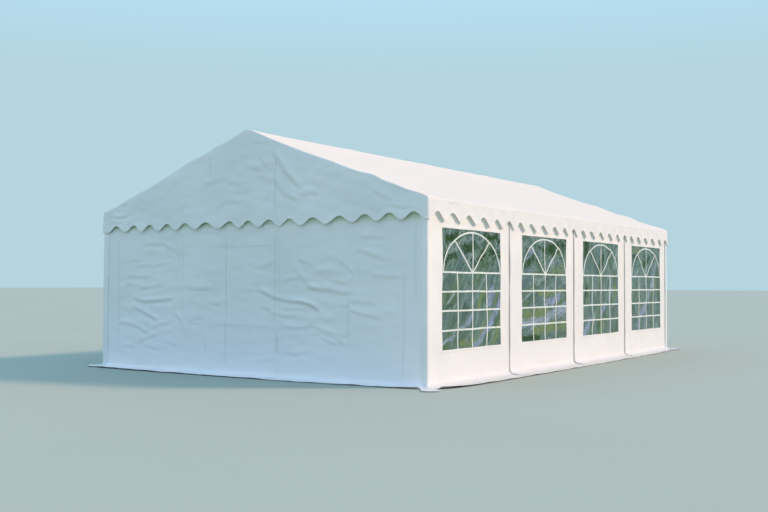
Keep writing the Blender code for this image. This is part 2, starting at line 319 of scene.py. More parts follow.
def clothRelief(wire, place, x, y, z, clouds, scuffs):
    # weave and scuffs, and fold marks from being stored, which are the edges of large uneven cells
    drift = wire.node("TexNoise", {}, {"Vector": place, "Scale": 1.6, "Detail": 2.0}, output=1)
    warped = wire.node("VectorMath", {"operation": "ADD"}, {0: place, 1: drift})
    cells = wire.node("TexVoronoi", {"feature": "DISTANCE_TO_EDGE"}, {
        "Vector": warped, "Scale": vinyl["hairlineScale"]})
    hairline = (1 - ramp(wire, cells, 0.0, 0.03)) * ramp(wire, noiseAt(wire, place, 1.3, 2.0), 0.45, 0.65)
    turn = 2 * math.pi / vinyl["weavePitch"]
    warp = wire.maths("SINE", (x + y) * turn)
    weft = wire.maths("SINE", (z + (x - y) * vinyl["weaveSlant"]) * turn)
    relief = (warp * weft) * vinyl["weaveHeight"] + hairline * vinyl["hairlineHeight"]
    return relief + scuffs * vinyl["scuffHeight"] + clouds * vinyl["cloudHeight"]


def whiteVinyl(name, high, low, band=None, marks=(), lapBandLines=(), thinEdge=False, flap=None):
    # PVC coated scrim: faint weave, hairline fold marks, cloudy sheen and a little dust at the foot, with
    # light and shade painted into its colour
    finish, shader, wire = newFinish(name)
    place, x, y, z = placeParts(wire)
    facing = wire.node("SeparateXYZ", {}, {0: wire.node("TexCoord", output=1)}, output=2)
    clouds = noiseAt(wire, place, 0.9, 4.0)
    scuffs = noiseAt(wire, stretch(wire, place, (1.0, 1.0, 3.0)), 7.0, 5.0, 0.6)
    tone = dustyWhiteWithPaintedLight(wire, place, z, clouds, high, low)
    share = vinyl["through"]
    if band:
        # painted light and shade in the valance's shadow: a green-grey painted shade on the gable walls, a
        # yellow-green painted light on the side walls
        tint, top = band
        underValanceShade = ramp(wire, z, *span["bandFoot"]) * (1 - ramp(wire, z, top - vinyl["bandFade"], top))
        tone = blendColour(wire, underValanceShade * vinyl["bandShare"], tone, tint)
    if thinEdge:
        # what hangs over the eaves is a single layer that the sun comes through, and its colour is painted
        # lighter, nearly white, as painted light
        hanging = ramp(wire, abs(x), *span["eaveFace"]) * (1 - ramp(wire, z, *span["eaveFoot"]))
        tone = blendColour(wire, hanging, tone, vinyl["thin"])
        share = hanging * vinyl["thinThrough"] + share
    for line in lapBandLines:
        # the lapped edges of the side panels get a warm grey band, darker than the wall
        lapBand = 1 - ramp(wire, abs(y * wire.maths("SIGN", x) - line), *span["lapBandHalf"])
        tone = blendColour(wire, lapBand * ramp(wire, abs(x), *span["sideFace"]), tone, vinyl["lapBand"])
    # painted shade: the seams and storage folds are painted darker
    if marks:
        right = x * wire.maths("SIGN", 0 - y)
        lineShade = paintedLineShade(wire, right, z, marks) * ramp(wire, abs(y), *span["gableFace"])
        tone = blendColour(wire, lineShade, tone, vinyl["seamShade"])
    # painted shade: the roof is painted darker and warmer where it faces up, more so near the eaves, and the
    # roll at the eave and the flap get painted shade below
    eave = ramp(wire, abs(x), *span["nearEave"]) * vinyl["eaveShadeBoost"]
    paintedRoofShade = ramp(wire, facing + eave, *span["roofFacing"]) * ramp(wire, z, *span["roofHeight"])
    tone = blendColour(wire, paintedRoofShade, tone, vinyl["roof"])
    if thinEdge:
        # painted shade: the roll at the eave is painted duller and warmer
        paintedRollShade = ramp(wire, facing, *span["rollStart"]) * (1 - ramp(wire, facing, *span["rollEnd"]))
        tone = blendColour(wire, paintedRollShade * ramp(wire, abs(x), *span["rollFace"]), tone, vinyl["roll"])
    if flap:
        # painted shade: the flap lying on the ground is painted greyer
        paintedFlapShade = ramp(wire, facing, *span["flapFacing"]) * (1 - ramp(wire, z, *span["flapHeight"]))
        tone = blendColour(wire, paintedFlapShade, tone, flap)
    bump = bumpFrom(wire, clothRelief(wire, place, x, y, z, clouds, scuffs), vinyl["bump"])
    sheen = ramp(wire, scuffs, 0.25, 0.75)
    rough = sheen * (vinyl["sheenHigh"] - vinyl["sheenLow"]) + vinyl["sheenLow"]
    feed(wire, shader, {
        "Base Color": tone, "Roughness": rough, "Normal": bump, "IOR": 1.46, "Specular IOR Level": 0.42})
    # some daylight comes through the cloth
    through = wire.node("BsdfTranslucent", {}, {"Color": vinyl["glow"], "Normal": bump})
    blend = wire.node("MixShader", {}, {0: share, 1: Wire(wire.tree, shader.outputs[0]), 2: through})
    wire.tree.links.new(blend.socket, wire.tree.nodes["Material Output"].inputs["Surface"])
    return finish


# painted reflections: what the flexible clear panes mirror and let through is painted into their colour, in
# streaks of the bay's own direction
pane = {
    "slate": (0.108, 0.190, 0.205, 1),
    "green": (0.088, 0.168, 0.098, 1),
    "pale": (0.29, 0.39, 0.40, 1),
    "darkReflection": (0.014, 0.054, 0.001, 1),
    "lilac": (0.28, 0.35, 0.53, 1),
    "paleBlueReflection": (0.31, 0.40, 0.53, 1),
    "olive": (0.16, 0.24, 0.085, 1),
    "specks": [0.75, 0.65, 0.35, 0.45],      # how broken the top of each pane's painted reflection is
    "turns": [54, 16, 82, 78],         # degrees up from level
    "middles": [-3.0, -1.0, 1.0, 3.0],
    "sill": 0.385,
    "warp": 0.20,
    "bend": 0.5,
    # noises: stretch along and beside the bay's direction, shift by bay, scale, detail, roughness
    "swirl": (0.8, 2.2, 3.7, 1.9, 4.0, 0.6),
    "streaks": (0.9, 4.0, 1.3, 2.6, 4.0, 0.62),
    "fine": (2.4, 12.0, 2.1, 2.4, 3.0, 0.6),
    "speckle": (1.0, 1.8, 5.1, 17.0, 3.0, 0.65),
}
# painted reflections in each pane: colour, half width, then from and to: metres right of the pane's middle,
# and above its sill
paneReflections = [
    [
        ("darkReflection", 0.055, (-0.58, 1.25), (-0.34, 1.27)), ("darkReflection", 0.075, (-0.20, 1.14), (0.02, 1.17)),
        ("darkReflection", 0.060, (-0.62, 1.00), (-0.43, 1.06)), ("darkReflection", 0.055, (0.48, 1.10), (0.72, 1.09)),
        ("darkReflection", 0.040, (0.30, 1.29), (0.68, 1.27)), ("darkReflection", 0.050, (0.10, 0.98), (0.30, 1.06)),
        ("pale", 0.030, (-0.52, 1.07), (-0.19, 1.23)), ("pale", 0.022, (-0.60, 1.13), (-0.40, 1.23)),
        ("pale", 0.020, (-0.55, 0.52), (-0.41, 0.62)), ("pale", 0.018, (0.14, 1.20), (0.30, 1.24)),
        ("olive", 0.060, (0.13, 0.12), (0.42, 0.37)), ("olive", 0.050, (-0.26, 0.03), (0.03, 0.08)),
        ("olive", 0.060, (0.15, 0.48), (0.29, 0.62)), ("olive", 0.040, (0.53, 0.50), (0.62, 0.66)),
        ("olive", 0.060, (0.50, 0.05), (0.70, 0.24)), ("lilac", 0.052, (0.05, 0.03), (0.39, 0.22)),
        ("lilac", 0.065, (0.36, 0.20), (0.70, 0.48)), ("paleBlueReflection", 0.020, (-0.68, 0.05), (-0.18, 0.25)),
        ("lilac", 0.055, (0.40, 0.50), (0.48, 0.66)), ("lilac", 0.045, (0.66, 0.48), (0.72, 0.62)),
        ("lilac", 0.045, (-0.10, 0.28), (-0.02, 0.36)),
    ],
    [
        ("darkReflection", 0.090, (0.05, 1.20), (0.62, 1.26)), ("darkReflection", 0.060, (-0.64, 0.96), (-0.38, 1.05)),
        ("olive", 0.080, (0.28, 0.90), (0.70, 0.95)), ("lilac", 0.040, (-0.56, 1.06), (-0.36, 1.18)),
        ("darkReflection", 0.040, (-0.20, 1.22), (0.10, 1.16)), ("pale", 0.022, (-0.25, 0.72), (0.00, 0.80)),
        ("pale", 0.018, (-0.22, 0.78), (0.02, 0.84)), ("pale", 0.020, (-0.68, 0.52), (-0.40, 0.62)),
        ("olive", 0.045, (-0.18, 0.61), (0.56, 0.64)), ("lilac", 0.055, (0.06, 0.50), (0.48, 0.56)),
        ("olive", 0.085, (-0.70, 0.33), (0.06, 0.37)), ("olive", 0.085, (-0.36, 0.13), (0.70, 0.18)),
        ("paleBlueReflection", 0.060, (-0.70, 0.23), (0.04, 0.26)), ("paleBlueReflection", 0.070, (0.02, 0.27), (0.72, 0.43)),
        ("darkReflection", 0.050, (-0.70, 0.02), (-0.20, 0.04)),
    ],
    [
        ("darkReflection", 0.110, (-0.62, 1.16), (-0.56, 1.30)), ("pale", 0.060, (0.56, 1.02), (0.66, 1.22)),
        ("olive", 0.070, (0.48, 0.52), (0.60, 0.66)), ("paleBlueReflection", 0.045, (0.33, 0.46), (0.36, 0.84)),
        ("lilac", 0.070, (-0.64, 0.04), (-0.44, 0.20)), ("pale", 0.030, (-0.38, 0.06), (-0.22, 0.30)),
        ("olive", 0.050, (0.00, 0.04), (0.08, 0.20)), ("darkReflection", 0.080, (-0.10, 0.96), (0.06, 1.12)),
        ("lilac", 0.050, (0.02, 0.26), (0.16, 0.42)), ("darkReflection", 0.045, (-0.64, 0.50), (-0.56, 0.66)),
    ],
    [
        ("olive", 0.070, (-0.70, 1.26), (-0.34, 1.30)), ("darkReflection", 0.050, (-0.66, 1.16), (-0.40, 1.20)),
        ("lilac", 0.050, (0.33, 0.71), (0.46, 1.06)), ("olive", 0.060, (0.46, 0.66), (0.52, 0.84)),
        ("paleBlueReflection", 0.060, (0.00, 0.42), (0.27, 0.72)), ("lilac", 0.070, (-0.40, 0.08), (0.00, 0.44)),
        ("darkReflection", 0.060, (-0.06, 1.06), (0.14, 1.18)), ("pale", 0.040, (-0.50, 0.88), (-0.34, 1.02)),
    ],
]


def streak(wire, across, up, width, start, end):
    # a soft band round the line from start to end
    run, rise = end[0] - start[0], end[1] - start[1]
    length = math.hypot(run, rise)
    right, above = across - start[0], up - start[1]
    along = right * (run / length) + above * (rise / length)
    beside = above * (run / length) - right * (rise / length)
    past = wire.maths("MAXIMUM", wire.maths("MAXIMUM", 0 - along, along - length), 0.0)
    gap = wire.maths("SQRT", beside * beside + past * past)
    return 1 - ramp(wire, gap, width * 0.45, width * 1.15)


def drawnOut(wire, along, beside, number, noise):
    alongStretch, besideStretch, shift, scale, detail, rough = pane[noise]
    axes = {0: along * alongStretch, 1: beside * besideStretch, 2: number * shift}
    return noiseAt(wire, wire.node("CombineXYZ", {}, axes), scale, detail, rough)


def clearVinyl(number):
    # flexible clear PVC: it shows the dark inside, and a mirror image of its surroundings is painted into
    # its colour in rippled streaks
    finish, shader, wire = newFinish(f"clear vinyl {number}")
    _, x, y, z = placeParts(wire)
    across = y * wire.maths("SIGN", x) - pane["middles"][number - 1]
    up = z - pane["sill"]
    turn = math.radians(pane["turns"][number - 1])
    along = across * math.cos(turn) + up * math.sin(turn)
    beside = up * math.cos(turn) - across * math.sin(turn)
    swirl = drawnOut(wire, along, beside, number, "swirl")
    bent = beside + (swirl - 0.5) * pane["bend"]
    streaks = drawnOut(wire, along, bent, number, "streaks")
    fine = drawnOut(wire, along, bent, number, "fine")
    base = blendColour(wire, ramp(wire, swirl, 0.38, 0.62), pane["slate"], pane["green"])
    base = blendColour(wire, ramp(wire, streaks * 0.5 + fine * 0.5, 0.50, 0.36) * 0.62, base, pane["darkReflection"])
    base = blendColour(wire, ramp(wire, streaks * 0.45 + fine * 0.55, 0.52, 0.66) * 0.85, base, pane["pale"])
    warped = across + (swirl - 0.5) * pane["warp"]
    lifted = up + (streaks - 0.5) * pane["warp"]
    broken = ramp(wire, fine, 0.34, 0.58) * 0.8 + 0.15
    solid = ramp(wire, fine, 0.26, 0.46) * 0.35 + 0.65
    for colour, width, start, end in paneReflections[number - 1]:
        mask = streak(wire, warped, lifted, width, start, end) * (solid if colour == "darkReflection" else broken)
        base = blendColour(wire, mask, base, pane[colour])
    # painted reflections: small dark and pale specks in the upper part
    speckle = drawnOut(wire, along, bent, number, "speckle")
    upper = ramp(wire, up, 0.78, 1.0) * pane["specks"][number - 1]
    base = blendColour(wire, ramp(wire, speckle, 0.47, 0.39) * upper, base, pane["darkReflection"])
    base = blendColour(wire, ramp(wire, speckle, 0.57, 0.66) * upper, base, pane["pale"])
    ripples = bumpFrom(wire, streaks * 0.010 + fine * 0.0016, 0.6)
    feed(wire, shader, {
        "Base Color": base, "Roughness": 0.10, "Normal": ripples, "IOR": 1.5, "Alpha": 0.88,
        "Specular IOR Level": 0.2})
    return finish


bars = {"light": (0.74, 0.80, 0.76, 1), "dim": (0.60, 0.68, 0.64, 1)}


def barVinyl():
    # welded strips of white PVC that the light comes through
    finish, shader, wire = newFinish("window bar vinyl")
    grain = noiseAt(wire, placeParts(wire)[0], 9.0, 4.0)
    colour = blendColour(wire, ramp(wire, grain, 0.35, 0.65), bars["light"], bars["dim"])
    feed(wire, shader, {
        "Base Color": colour, "Roughness": 0.34 + grain * 0.16, "Normal": bumpFrom(wire, grain * 0.001, 0.4),
        "IOR": 1.46})
    return finish


steel = {"dark": (0.50, 0.52, 0.53, 1), "bright": (0.66, 0.68, 0.69, 1), "spangle": 70.0}


def galvanisedSteel():
    # hot-dip spangle in small cells, duller where the coating is thick
    finish, shader, wire = newFinish("galvanised steel")
    place = wire.node("TexCoord", output=3)
    cells = {"Vector": place, "Scale": steel["spangle"]}
    tone = wire.node("SeparateColor", {}, {0: wire.node("TexVoronoi", {"feature": "F1"}, cells, output=1)})
    drips = noiseAt(wire, stretch(wire, place, (1.0, 1.0, 0.25)), 12.0, 4.0)
    feed(wire, shader, {
        "Base Color": blendColour(wire, tone, steel["dark"], steel["bright"]), "Metallic": 0.92,
        "Roughness": tone * 0.16 + drips * 0.25 + 0.22,
        "Normal": bumpFrom(wire, tone * 0.0001 + drips * 0.0004, 0.35)})
    return finish


floor = {"low": (0.33, 0.375, 0.335, 1), "high": (0.36, 0.405, 0.365, 1), "size": 420.0}


def studioFloor():
    finish, shader, wire = newFinish("studio floor")
    clouds = noiseAt(wire, wire.node("TexCoord", output=3), 0.25, 3.0)
    colour = blendColour(wire, clouds, floor["low"], floor["high"])
    feed(wire, shader, {"Base Color": colour, "Roughness": 0.9, "Specular IOR Level": 0.1})
    return finish


def addLights():
    bpy.ops.object.light_add(type="SUN", location=(20, 14, 17))
    sun = bpy.context.object
    sun.name = "studioSun"
    sun.rotation_euler = Vector(view["sunFrom"]).to_track_quat("Z", "Y").to_euler()
    sun.data.energy = view["sunStrength"]
    sun.data.color = view["sunColour"]
    sun.data.angle = math.radians(view["sunSize"])
    world = bpy.data.worlds.new("studioSky")
    world.use_nodes = True
    wire = Wire(world.node_tree)
    # hazy above the horizon, clear blue over it and paler overhead
    parts = wire.node("SeparateXYZ", {}, {0: wire.node("TexCoord", output=0)}, output=2)
    sky = blendColour(wire, ramp(wire, parts, 0.2, 0.9), (*view["skyLow"], 1), (*view["skyHigh"], 1))
    sky = blendColour(wire, ramp(wire, parts, 0.2, 0.36), (*view["skyHaze"], 1), sky)
    feed(wire, world.node_tree.nodes["Background"], {"Color": sky, "Strength": 1.0})
    bpy.context.scene.world = world
    bpy.context.scene.view_settings.view_transform = "Standard"


addLights()
print("marquee: camera and lights placed")

coverFinish = whiteVinyl("cover vinyl", vinyl["white"], vinyl["white"], None, coverMarks, thinEdge=True)
gableFinish = whiteVinyl(
    "gable wall vinyl", vinyl["white"], vinyl["gableFootPaintedLight"], (vinyl["valanceGreenShade"], vinyl["valanceGreenShadeTop"]), wallMarks)
lapLines = [line - lap + vinyl["lapBandInset"] for line, lap in zip(frameLines[1:4], sideLaps[1:])]
sideFinish = whiteVinyl(
    "side wall vinyl", vinyl["sideUpperPaintedLight"], vinyl["sideFootPaintedShade"], (vinyl["valanceTintLight"], vinyl["valanceTintLightTop"]),
    lapBandLines=lapLines, flap=vinyl["flap"])
paneFinishes = [clearVinyl(number) for number in range(1, 5)]
barFinish = barVinyl()
steelFinish = galvanisedSteel()
print("marquee: materials mixed")


def addFloor():
    bpy.ops.object.select_all(action="DESELECT")
    bpy.ops.mesh.primitive_grid_add(x_subdivisions=4, y_subdivisions=4, size=floor["size"])
    ground = bpy.context.object
    ground.name = "studioFloor"
    ground.data.materials.append(studioFloor())


addFloor()


# Making sheets: a flat pattern is cut from a grid, then every point is hung in its place

cloth = {
    "thickness": 0.0014,
    "crispAngle": 50,          # degrees, past which an edge is shaded sharp
    "offGround": 0.0022,       # height of the outer face of what lies on the ground
    "dipAway": 0.014,          # from a seam's ridge to the shallow dip beside it
    "dipWider": 0.002,
}


def readPoints(piece):
    points = np.empty(len(piece.data.vertices) * 3)
    piece.data.vertices.foreach_get("co", points)
    return points.reshape(-1, 3)


def writePoints(piece, points):
    piece.data.vertices.foreach_set("co", np.ascontiguousarray(points, dtype=np.float32).ravel())
    piece.data.update()


def pick(piece):
    # selects this piece alone, and makes it the active one
    bpy.ops.object.select_all(action="DESELECT")
    piece.select_set(True)
    bpy.context.view_layer.objects.active = piece


def giveName(piece, name):
    piece.name = name
    piece.data.name = name


def smooth(value):
    value = np.clip(value, 0, 1)
    return value * value * (3 - 2 * value)


def stations(start, end, pitch, lines=(), half=0.004):
    # even places from start to end, with a close pair at each seam line
    even = np.linspace(start, end, max(2, round((end - start) / pitch) + 1))
    close = [line + side * half for line in lines for side in (-1, 1)]
    close = [place for place in close if start < place < end]
    kept = [place for place in even[1:-1] if all(abs(place - other) > pitch * 0.45 for other in close)]
    return np.array(sorted([start, end] + kept + close))


def joinStations(*parts):
    return np.array(sorted(set(np.round(np.concatenate(parts), 6))))


def runs(places, pitches, lines=()):
    # even stations from each place to the next, each run at its own pitch
    return joinStations(*(stations(*run, lines) for run in zip(places, places[1:], pitches)))


def footRows(bend, reach, flapPitch, bendPitch):
    # rows of the flap on the ground and of the bend: the wall is straight from 0 up
    arc = bend * math.pi / 2
    return runs([bend - arc - reach, -arc, 0], [flapPitch, bendPitch])


def cutPattern(name, columns, rows):
    # a flat piece of cloth with a line of points at each column and row
    cellsX, cellsY = len(columns) - 1, len(rows) - 1
    bpy.ops.object.select_all(action="DESELECT")
    bpy.ops.mesh.primitive_grid_add(x_subdivisions=cellsX, y_subdivisions=cellsY, size=1, location=(0, 0, 0))
    piece = bpy.context.object
    giveName(piece, name)
    flat = readPoints(piece)
    flat[:, 0] = columns[np.rint((flat[:, 0] + 0.5) * cellsX).astype(int)]
    flat[:, 1] = rows[np.rint((flat[:, 1] + 0.5) * cellsY).astype(int)]
    writePoints(piece, flat)
    return piece


def cutOut(piece, low, high):
    # removes the faces of a flat pattern between two corners
    pick(piece)
    bpy.ops.object.mode_set(mode="EDIT")
    bpy.ops.mesh.select_mode(type="FACE")
    bpy.ops.mesh.select_all(action="DESELECT")
    bpy.ops.object.mode_set(mode="OBJECT")
    for face in piece.data.polygons:
        x, y, _ = face.center
        face.select = low[0] < x < high[0] and low[1] < y < high[1]
    bpy.ops.object.mode_set(mode="EDIT")
    bpy.ops.mesh.delete(type="FACE")
    bpy.ops.object.mode_set(mode="OBJECT")


def flatArea(piece):
    return sum(face.area for face in piece.data.polygons)


def thicken(piece, thickness=cloth["thickness"]):
    # gives the sheet its thickness on the inner side, and shades it smooth
    pick(piece)
    layer = piece.modifiers.new("thickness", "SOLIDIFY")
    layer.thickness = thickness
    layer.offset = -1
    bpy.ops.object.modifier_apply(modifier=layer.name)
    bpy.ops.object.shade_smooth_by_angle(angle=math.radians(cloth["crispAngle"]))


def turnedCopy(piece, name):
    # the same piece on the far side: turned half a turn about the middle of the floor
    pick(piece)
    bpy.ops.object.duplicate(linked=False)
    far = bpy.context.object
    giveName(far, name)
    points = readPoints(far)
    points[:, :2] *= -1
    writePoints(far, points)
    return far


def finishPiece(piece, finish, nodes=()):
    piece.data.materials.clear()
    piece.data.materials.append(finish)
    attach(piece, "root")
    if nodes:
        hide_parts(*nodes)


def softNoise(across, up, size, seed, count=10):
    # slow waves in many directions, about 1 high
    draw = np.random.default_rng(seed)
    total = np.zeros_like(across)
    for _ in range(count):
        turn = draw.uniform(0, 2 * math.pi)
        wave = 2 * math.pi / (size * draw.uniform(0.6, 1.7))
        shift = draw.uniform(0, 2 * math.pi)
        total += np.sin((across * math.cos(turn) + up * math.sin(turn)) * wave + shift)
    return total / math.sqrt(count / 2)


def waves(across, up, layers, shift=0):
    # waves on top of each other: height, size, how much closer they are upwards, and seed
    return sum(
        height * softNoise(across, up * closer, size, seed + shift) for height, size, closer, seed in layers)


def ridge(distance, width):
    return np.exp(-((distance / width) ** 2))


def soften(line):
    # cuts the corners of a line twice, so that a fold turns gently
    for _ in range(2):
        softer = [line[0]]
        for (startX, startZ), (endX, endZ) in zip(line, line[1:]):
            softer.append((startX * 0.75 + endX * 0.25, startZ * 0.75 + endZ * 0.25))
            softer.append((startX * 0.25 + endX * 0.75, startZ * 0.25 + endZ * 0.75))
        line = softer + [line[-1]]
    return line


def fold(across, up, line, height, width):
    # a fold that hangs over the line: it stands out above it and is drawn in below
    nearest = np.full(across.shape, 9.0)
    beside = np.zeros(across.shape)
    reach = np.zeros(across.shape)
    done = 0.0
    line = soften(line)
    for (startX, startZ), (endX, endZ) in zip(line, line[1:]):
        run, rise = endX - startX, endZ - startZ
        length = math.hypot(run, rise)
        along = ((across - startX) * run + (up - startZ) * rise) / length
        side = ((up - startZ) * run - (across - startX) * rise) / length
        gap = np.hypot(np.maximum(0, np.maximum(-along, along - length)), side)
        closer = gap < nearest
        nearest = np.where(closer, gap, nearest)
        beside = np.where(closer, side, beside)
        reach = np.where(closer, done + along, reach)
        done += length
    shape = ridge(beside - width, width) - 0.8 * ridge(beside + 0.7 * width, 0.8 * width)
    fade = min(0.12, done * 0.35)
    taper = smooth((reach + 0.5 * fade) / fade) * smooth((done - reach + 0.5 * fade) / fade)
    return height * shape * taper


def crumple(across, up, spots, seed):
    # patches of small level ripples: place, radius, height, and the distance between ripples
    total = np.zeros(across.shape)
    for number, (placeX, placeZ, radius, height, size) in enumerate(spots):
        patch = ridge(np.hypot(across - placeX, up - placeZ), radius)
        total += height * patch * softNoise(across * 0.45, up, size, seed + number, 14)
    return total


def slackCloth(across, up, piece):
    # the waves, patches of ripples, folds and seams of one hung piece
    relief = waves(across, up, piece["waves"])
    relief += crumple(across, up, piece["crumples"], piece["crumpleSeed"])
    for height, width, line in piece["folds"]:
        relief += fold(across, up, line, height, width)
    width = piece["seamWidth"]
    for line, height in piece["seams"]:
        dip = ridge(across - line - width - cloth["dipAway"], width + cloth["dipWider"])
        relief += height * (ridge(across - line, width) - piece["seamDip"] * dip)
    return relief


def footCurve(up, radius):
    # a wall bends out into its flap below up = 0: distance out, height, and the way its face looks
    turn = np.clip(-up / radius, 0, math.pi / 2)
    out = radius * (1 - np.cos(turn)) + np.maximum(0, -up - radius * math.pi / 2)
    height = radius * (1 - np.sin(turn)) + np.maximum(0, up)
    return out, height, np.cos(turn), np.sin(turn)


def layFlap(along, up, wall):
    # bends the wall's foot out, and gives the flap its own reach along the wall
    bend = wall["bend"]
    stray, size, seed = wall["reachWaves"]
    out, height, faceOut, faceUp = footCurve(up, bend)
    share = np.maximum(0, out - bend) / (flapReach - bend)
    reach = np.interp(along, wall["flapPlaces"], wall["flapReach"])
    reach = reach + stray * softNoise(along, 0 * along, size, seed)
    return np.minimum(out, bend) + share * (reach - bend), height, faceOut, faceUp, share


def settleFlap(along, up, height, share, wall):
    # the flap's edge stands up a little, and the rest lies rippled on the ground
    stray, size, seed = wall["liftWaves"]
    edge = np.interp(along, wall["flapPlaces"], wall["flapLift"])
    edge = edge + stray * (1 + softNoise(along, 0 * along, size, seed)) * 0.5
    start = wall["liftFrom"]
    ripple, size, seed = wall["flapRipple"]
    rise = edge * smooth((share - start) / (1 - start))
    rise = rise + ripple * np.abs(softNoise(along, share * 0.2, size, seed)) * smooth(share)
    return np.maximum(height + rise + cloth["offGround"] * smooth(-up / 0.1), cloth["offGround"])


# The cover: one sheet over the roof, down the eaves and down both gables

roof = {
    "cellsAcross": 80,
    "cellsAlong": 116,
    "cornerRadius": 0.03,
    "edgeRadius": 0.026,
    "gableEdgeRadius": 0.011,
    "roundRows": 4,
    "hangRows": 38,
    "gableDepth": 0.084,
    "sideDepth": 0.096,
    "cornerPull": 0.024,       # the foot rides up by this at the corner on the right of each gable
    "pullReach": 1.3,
    "flare": 0.010,            # the foot stands off by this more than the edge
    # middles of the gaps between scallops, from the middle of each edge, seen from outside
    "gableGaps": [
        -2.27, -1.94, -1.65, -1.34, -1.02, -0.66, -0.26, 0.03, 0.36, 0.66, 1.01, 1.39, 1.74, 2.06, 2.38],
    "sideGaps": [
        -3.86, -3.52, -3.15, -2.79, -2.45, -2.12, -1.81, -1.49, -1.13, -0.76, -0.43, -0.11,
        0.22, 0.53, 0.90, 1.25, 1.59, 1.91, 2.21, 2.52, 2.86, 3.21, 3.58, 3.89],
    "onPole": -0.0045,
    "onHub": 0.0008,
    "sag": -0.013,
    "hubSpread": 0.11,
    "eaveHub": (2.43, 0.13, 0.011),    # it stands up just inside the eave hubs: place, spread and rise
    "fieldShape": 0.8,
    "riseReach": 0.35,
    "creases": (0.0016, 0.22, 12),     # close creases by the eave: height, size and seed
    "creaseFrom": 1.9,
    "sideWaves": [(0.0016, 0.5, 1.0, 31), (0.0012, 0.17, 0.4, 32)],
    "fadeReach": 0.12,
    "ridgeBlend": 0.07,
    "ridgeSwell": 0.3,
    "swell": (0.0022, 0.7, 11),        # slow waves of the slopes: height, size and seed
}
# folds of the hanging gable: height, width, and a line of places to the right and up
gableFolds = [
    (0.020, 0.040, [(0.44, 2.64), (0.55, 2.47), (0.67, 2.35), (0.80, 2.24)]),
    (0.011, 0.034, [(0.43, 2.36), (0.50, 2.23), (0.60, 2.14), (0.78, 2.08)]),
    (0.008, 0.034, [(0.80, 2.14), (0.92, 2.155), (1.06, 2.15)]),
    (0.009, 0.034, [(0.00, 2.53), (0.10, 2.49), (0.22, 2.48)]),
    (0.007, 0.030, [(0.20, 2.62), (0.30, 2.50), (0.42, 2.44)]),
    (0.007, 0.030, [(0.18, 2.40), (0.30, 2.36), (0.40, 2.30)]),
    (0.006, 0.028, [(0.10, 2.82), (0.26, 2.79), (0.47, 2.77)]),
    (0.007, 0.030, [(-0.30, 2.34), (-0.20, 2.33), (-0.08, 2.30)]),
    (0.006, 0.034, [(-0.66, 2.33), (-0.48, 2.38), (-0.34, 2.37)]),
    (0.006, 0.030, [(-0.16, 2.20), (0.02, 2.22), (0.12, 2.23)]),
    (0.007, 0.034, [(-0.48, 2.04), (-0.36, 2.10), (-0.10, 2.09)]),
    (0.006, 0.030, [(1.10, 2.42), (1.22, 2.47), (1.34, 2.45)]),
    (0.008, 0.026, [(-2.34, 2.00), (-2.20, 1.97), (-2.08, 2.00)]),
    (0.006, 0.022, [(-2.40, 1.93), (-2.24, 1.90)]),
    (0.007, 0.030, [(1.86, 2.13), (2.10, 2.02)]),
    (0.006, 0.026, [(2.02, 1.98), (2.30, 1.92)]),
]
# patches of ripples: place to the right, place up, radius, height, distance between ripples
gableCrumples = [
    (0.30, 2.55, 0.16, 0.0030, 0.11), (0.20, 2.20, 0.25, 0.0016, 0.10), (-0.95, 1.98, 0.22, 0.0016, 0.08),
    (1.15, 2.45, 0.14, 0.0022, 0.10), (-0.45, 2.15, 0.22, 0.0018, 0.11), (-2.10, 2.02, 0.25, 0.0016, 0.09),
]
# fuller rolls of the gable's upper edge: metres right of the middle, spread, extra radius
edgeLumps = [
    (0.86, 0.12, 0.012), (1.22, 0.07, 0.008), (2.02, 0.12, 0.010), (-1.75, 0.20, 0.010), (-2.4, 0.15, 0.022)]
# where the cover stands up along the roof's ends: end, place across, spread, height
edgeRises = [
    (-1, -0.95, 0.24, 0.024), (-1, -0.50, 0.15, 0.020), (-1, 1.84, 0.13, 0.026), (-1, 2.13, 0.12, 0.012),
    (1, 1.28, 0.20, 0.012), (1, 1.84, 0.14, 0.020), (1, -0.95, 0.24, 0.024), (1, -1.84, 0.13, 0.020),
]
gableTop = {
    "waves": [(0.0035, 0.62, 1.0, 21), (0.0016, 0.26, 1.6, 22)],
    "folds": gableFolds,
    "crumples": gableCrumples,
    "crumpleSeed": 26,
    "seams": [(-0.54, 0.0022), (0.50, 0.0030), (-1.26, 0.0014), (0.23, 0.0016), (1.62, 0.0014)],
    "seamWidth": 0.012,
    "seamDip": 0.6,
}


def roofHeight(x):
    # the slopes, with a rounded cap over the ridge pole
    soft = roof["ridgeBlend"]
    cap = soft * np.exp(-((x / roof["ridgeSwell"]) ** 2))
    return coverRidge - math.tan(roofPitch) * (np.sqrt(x * x + soft * soft) - cap)


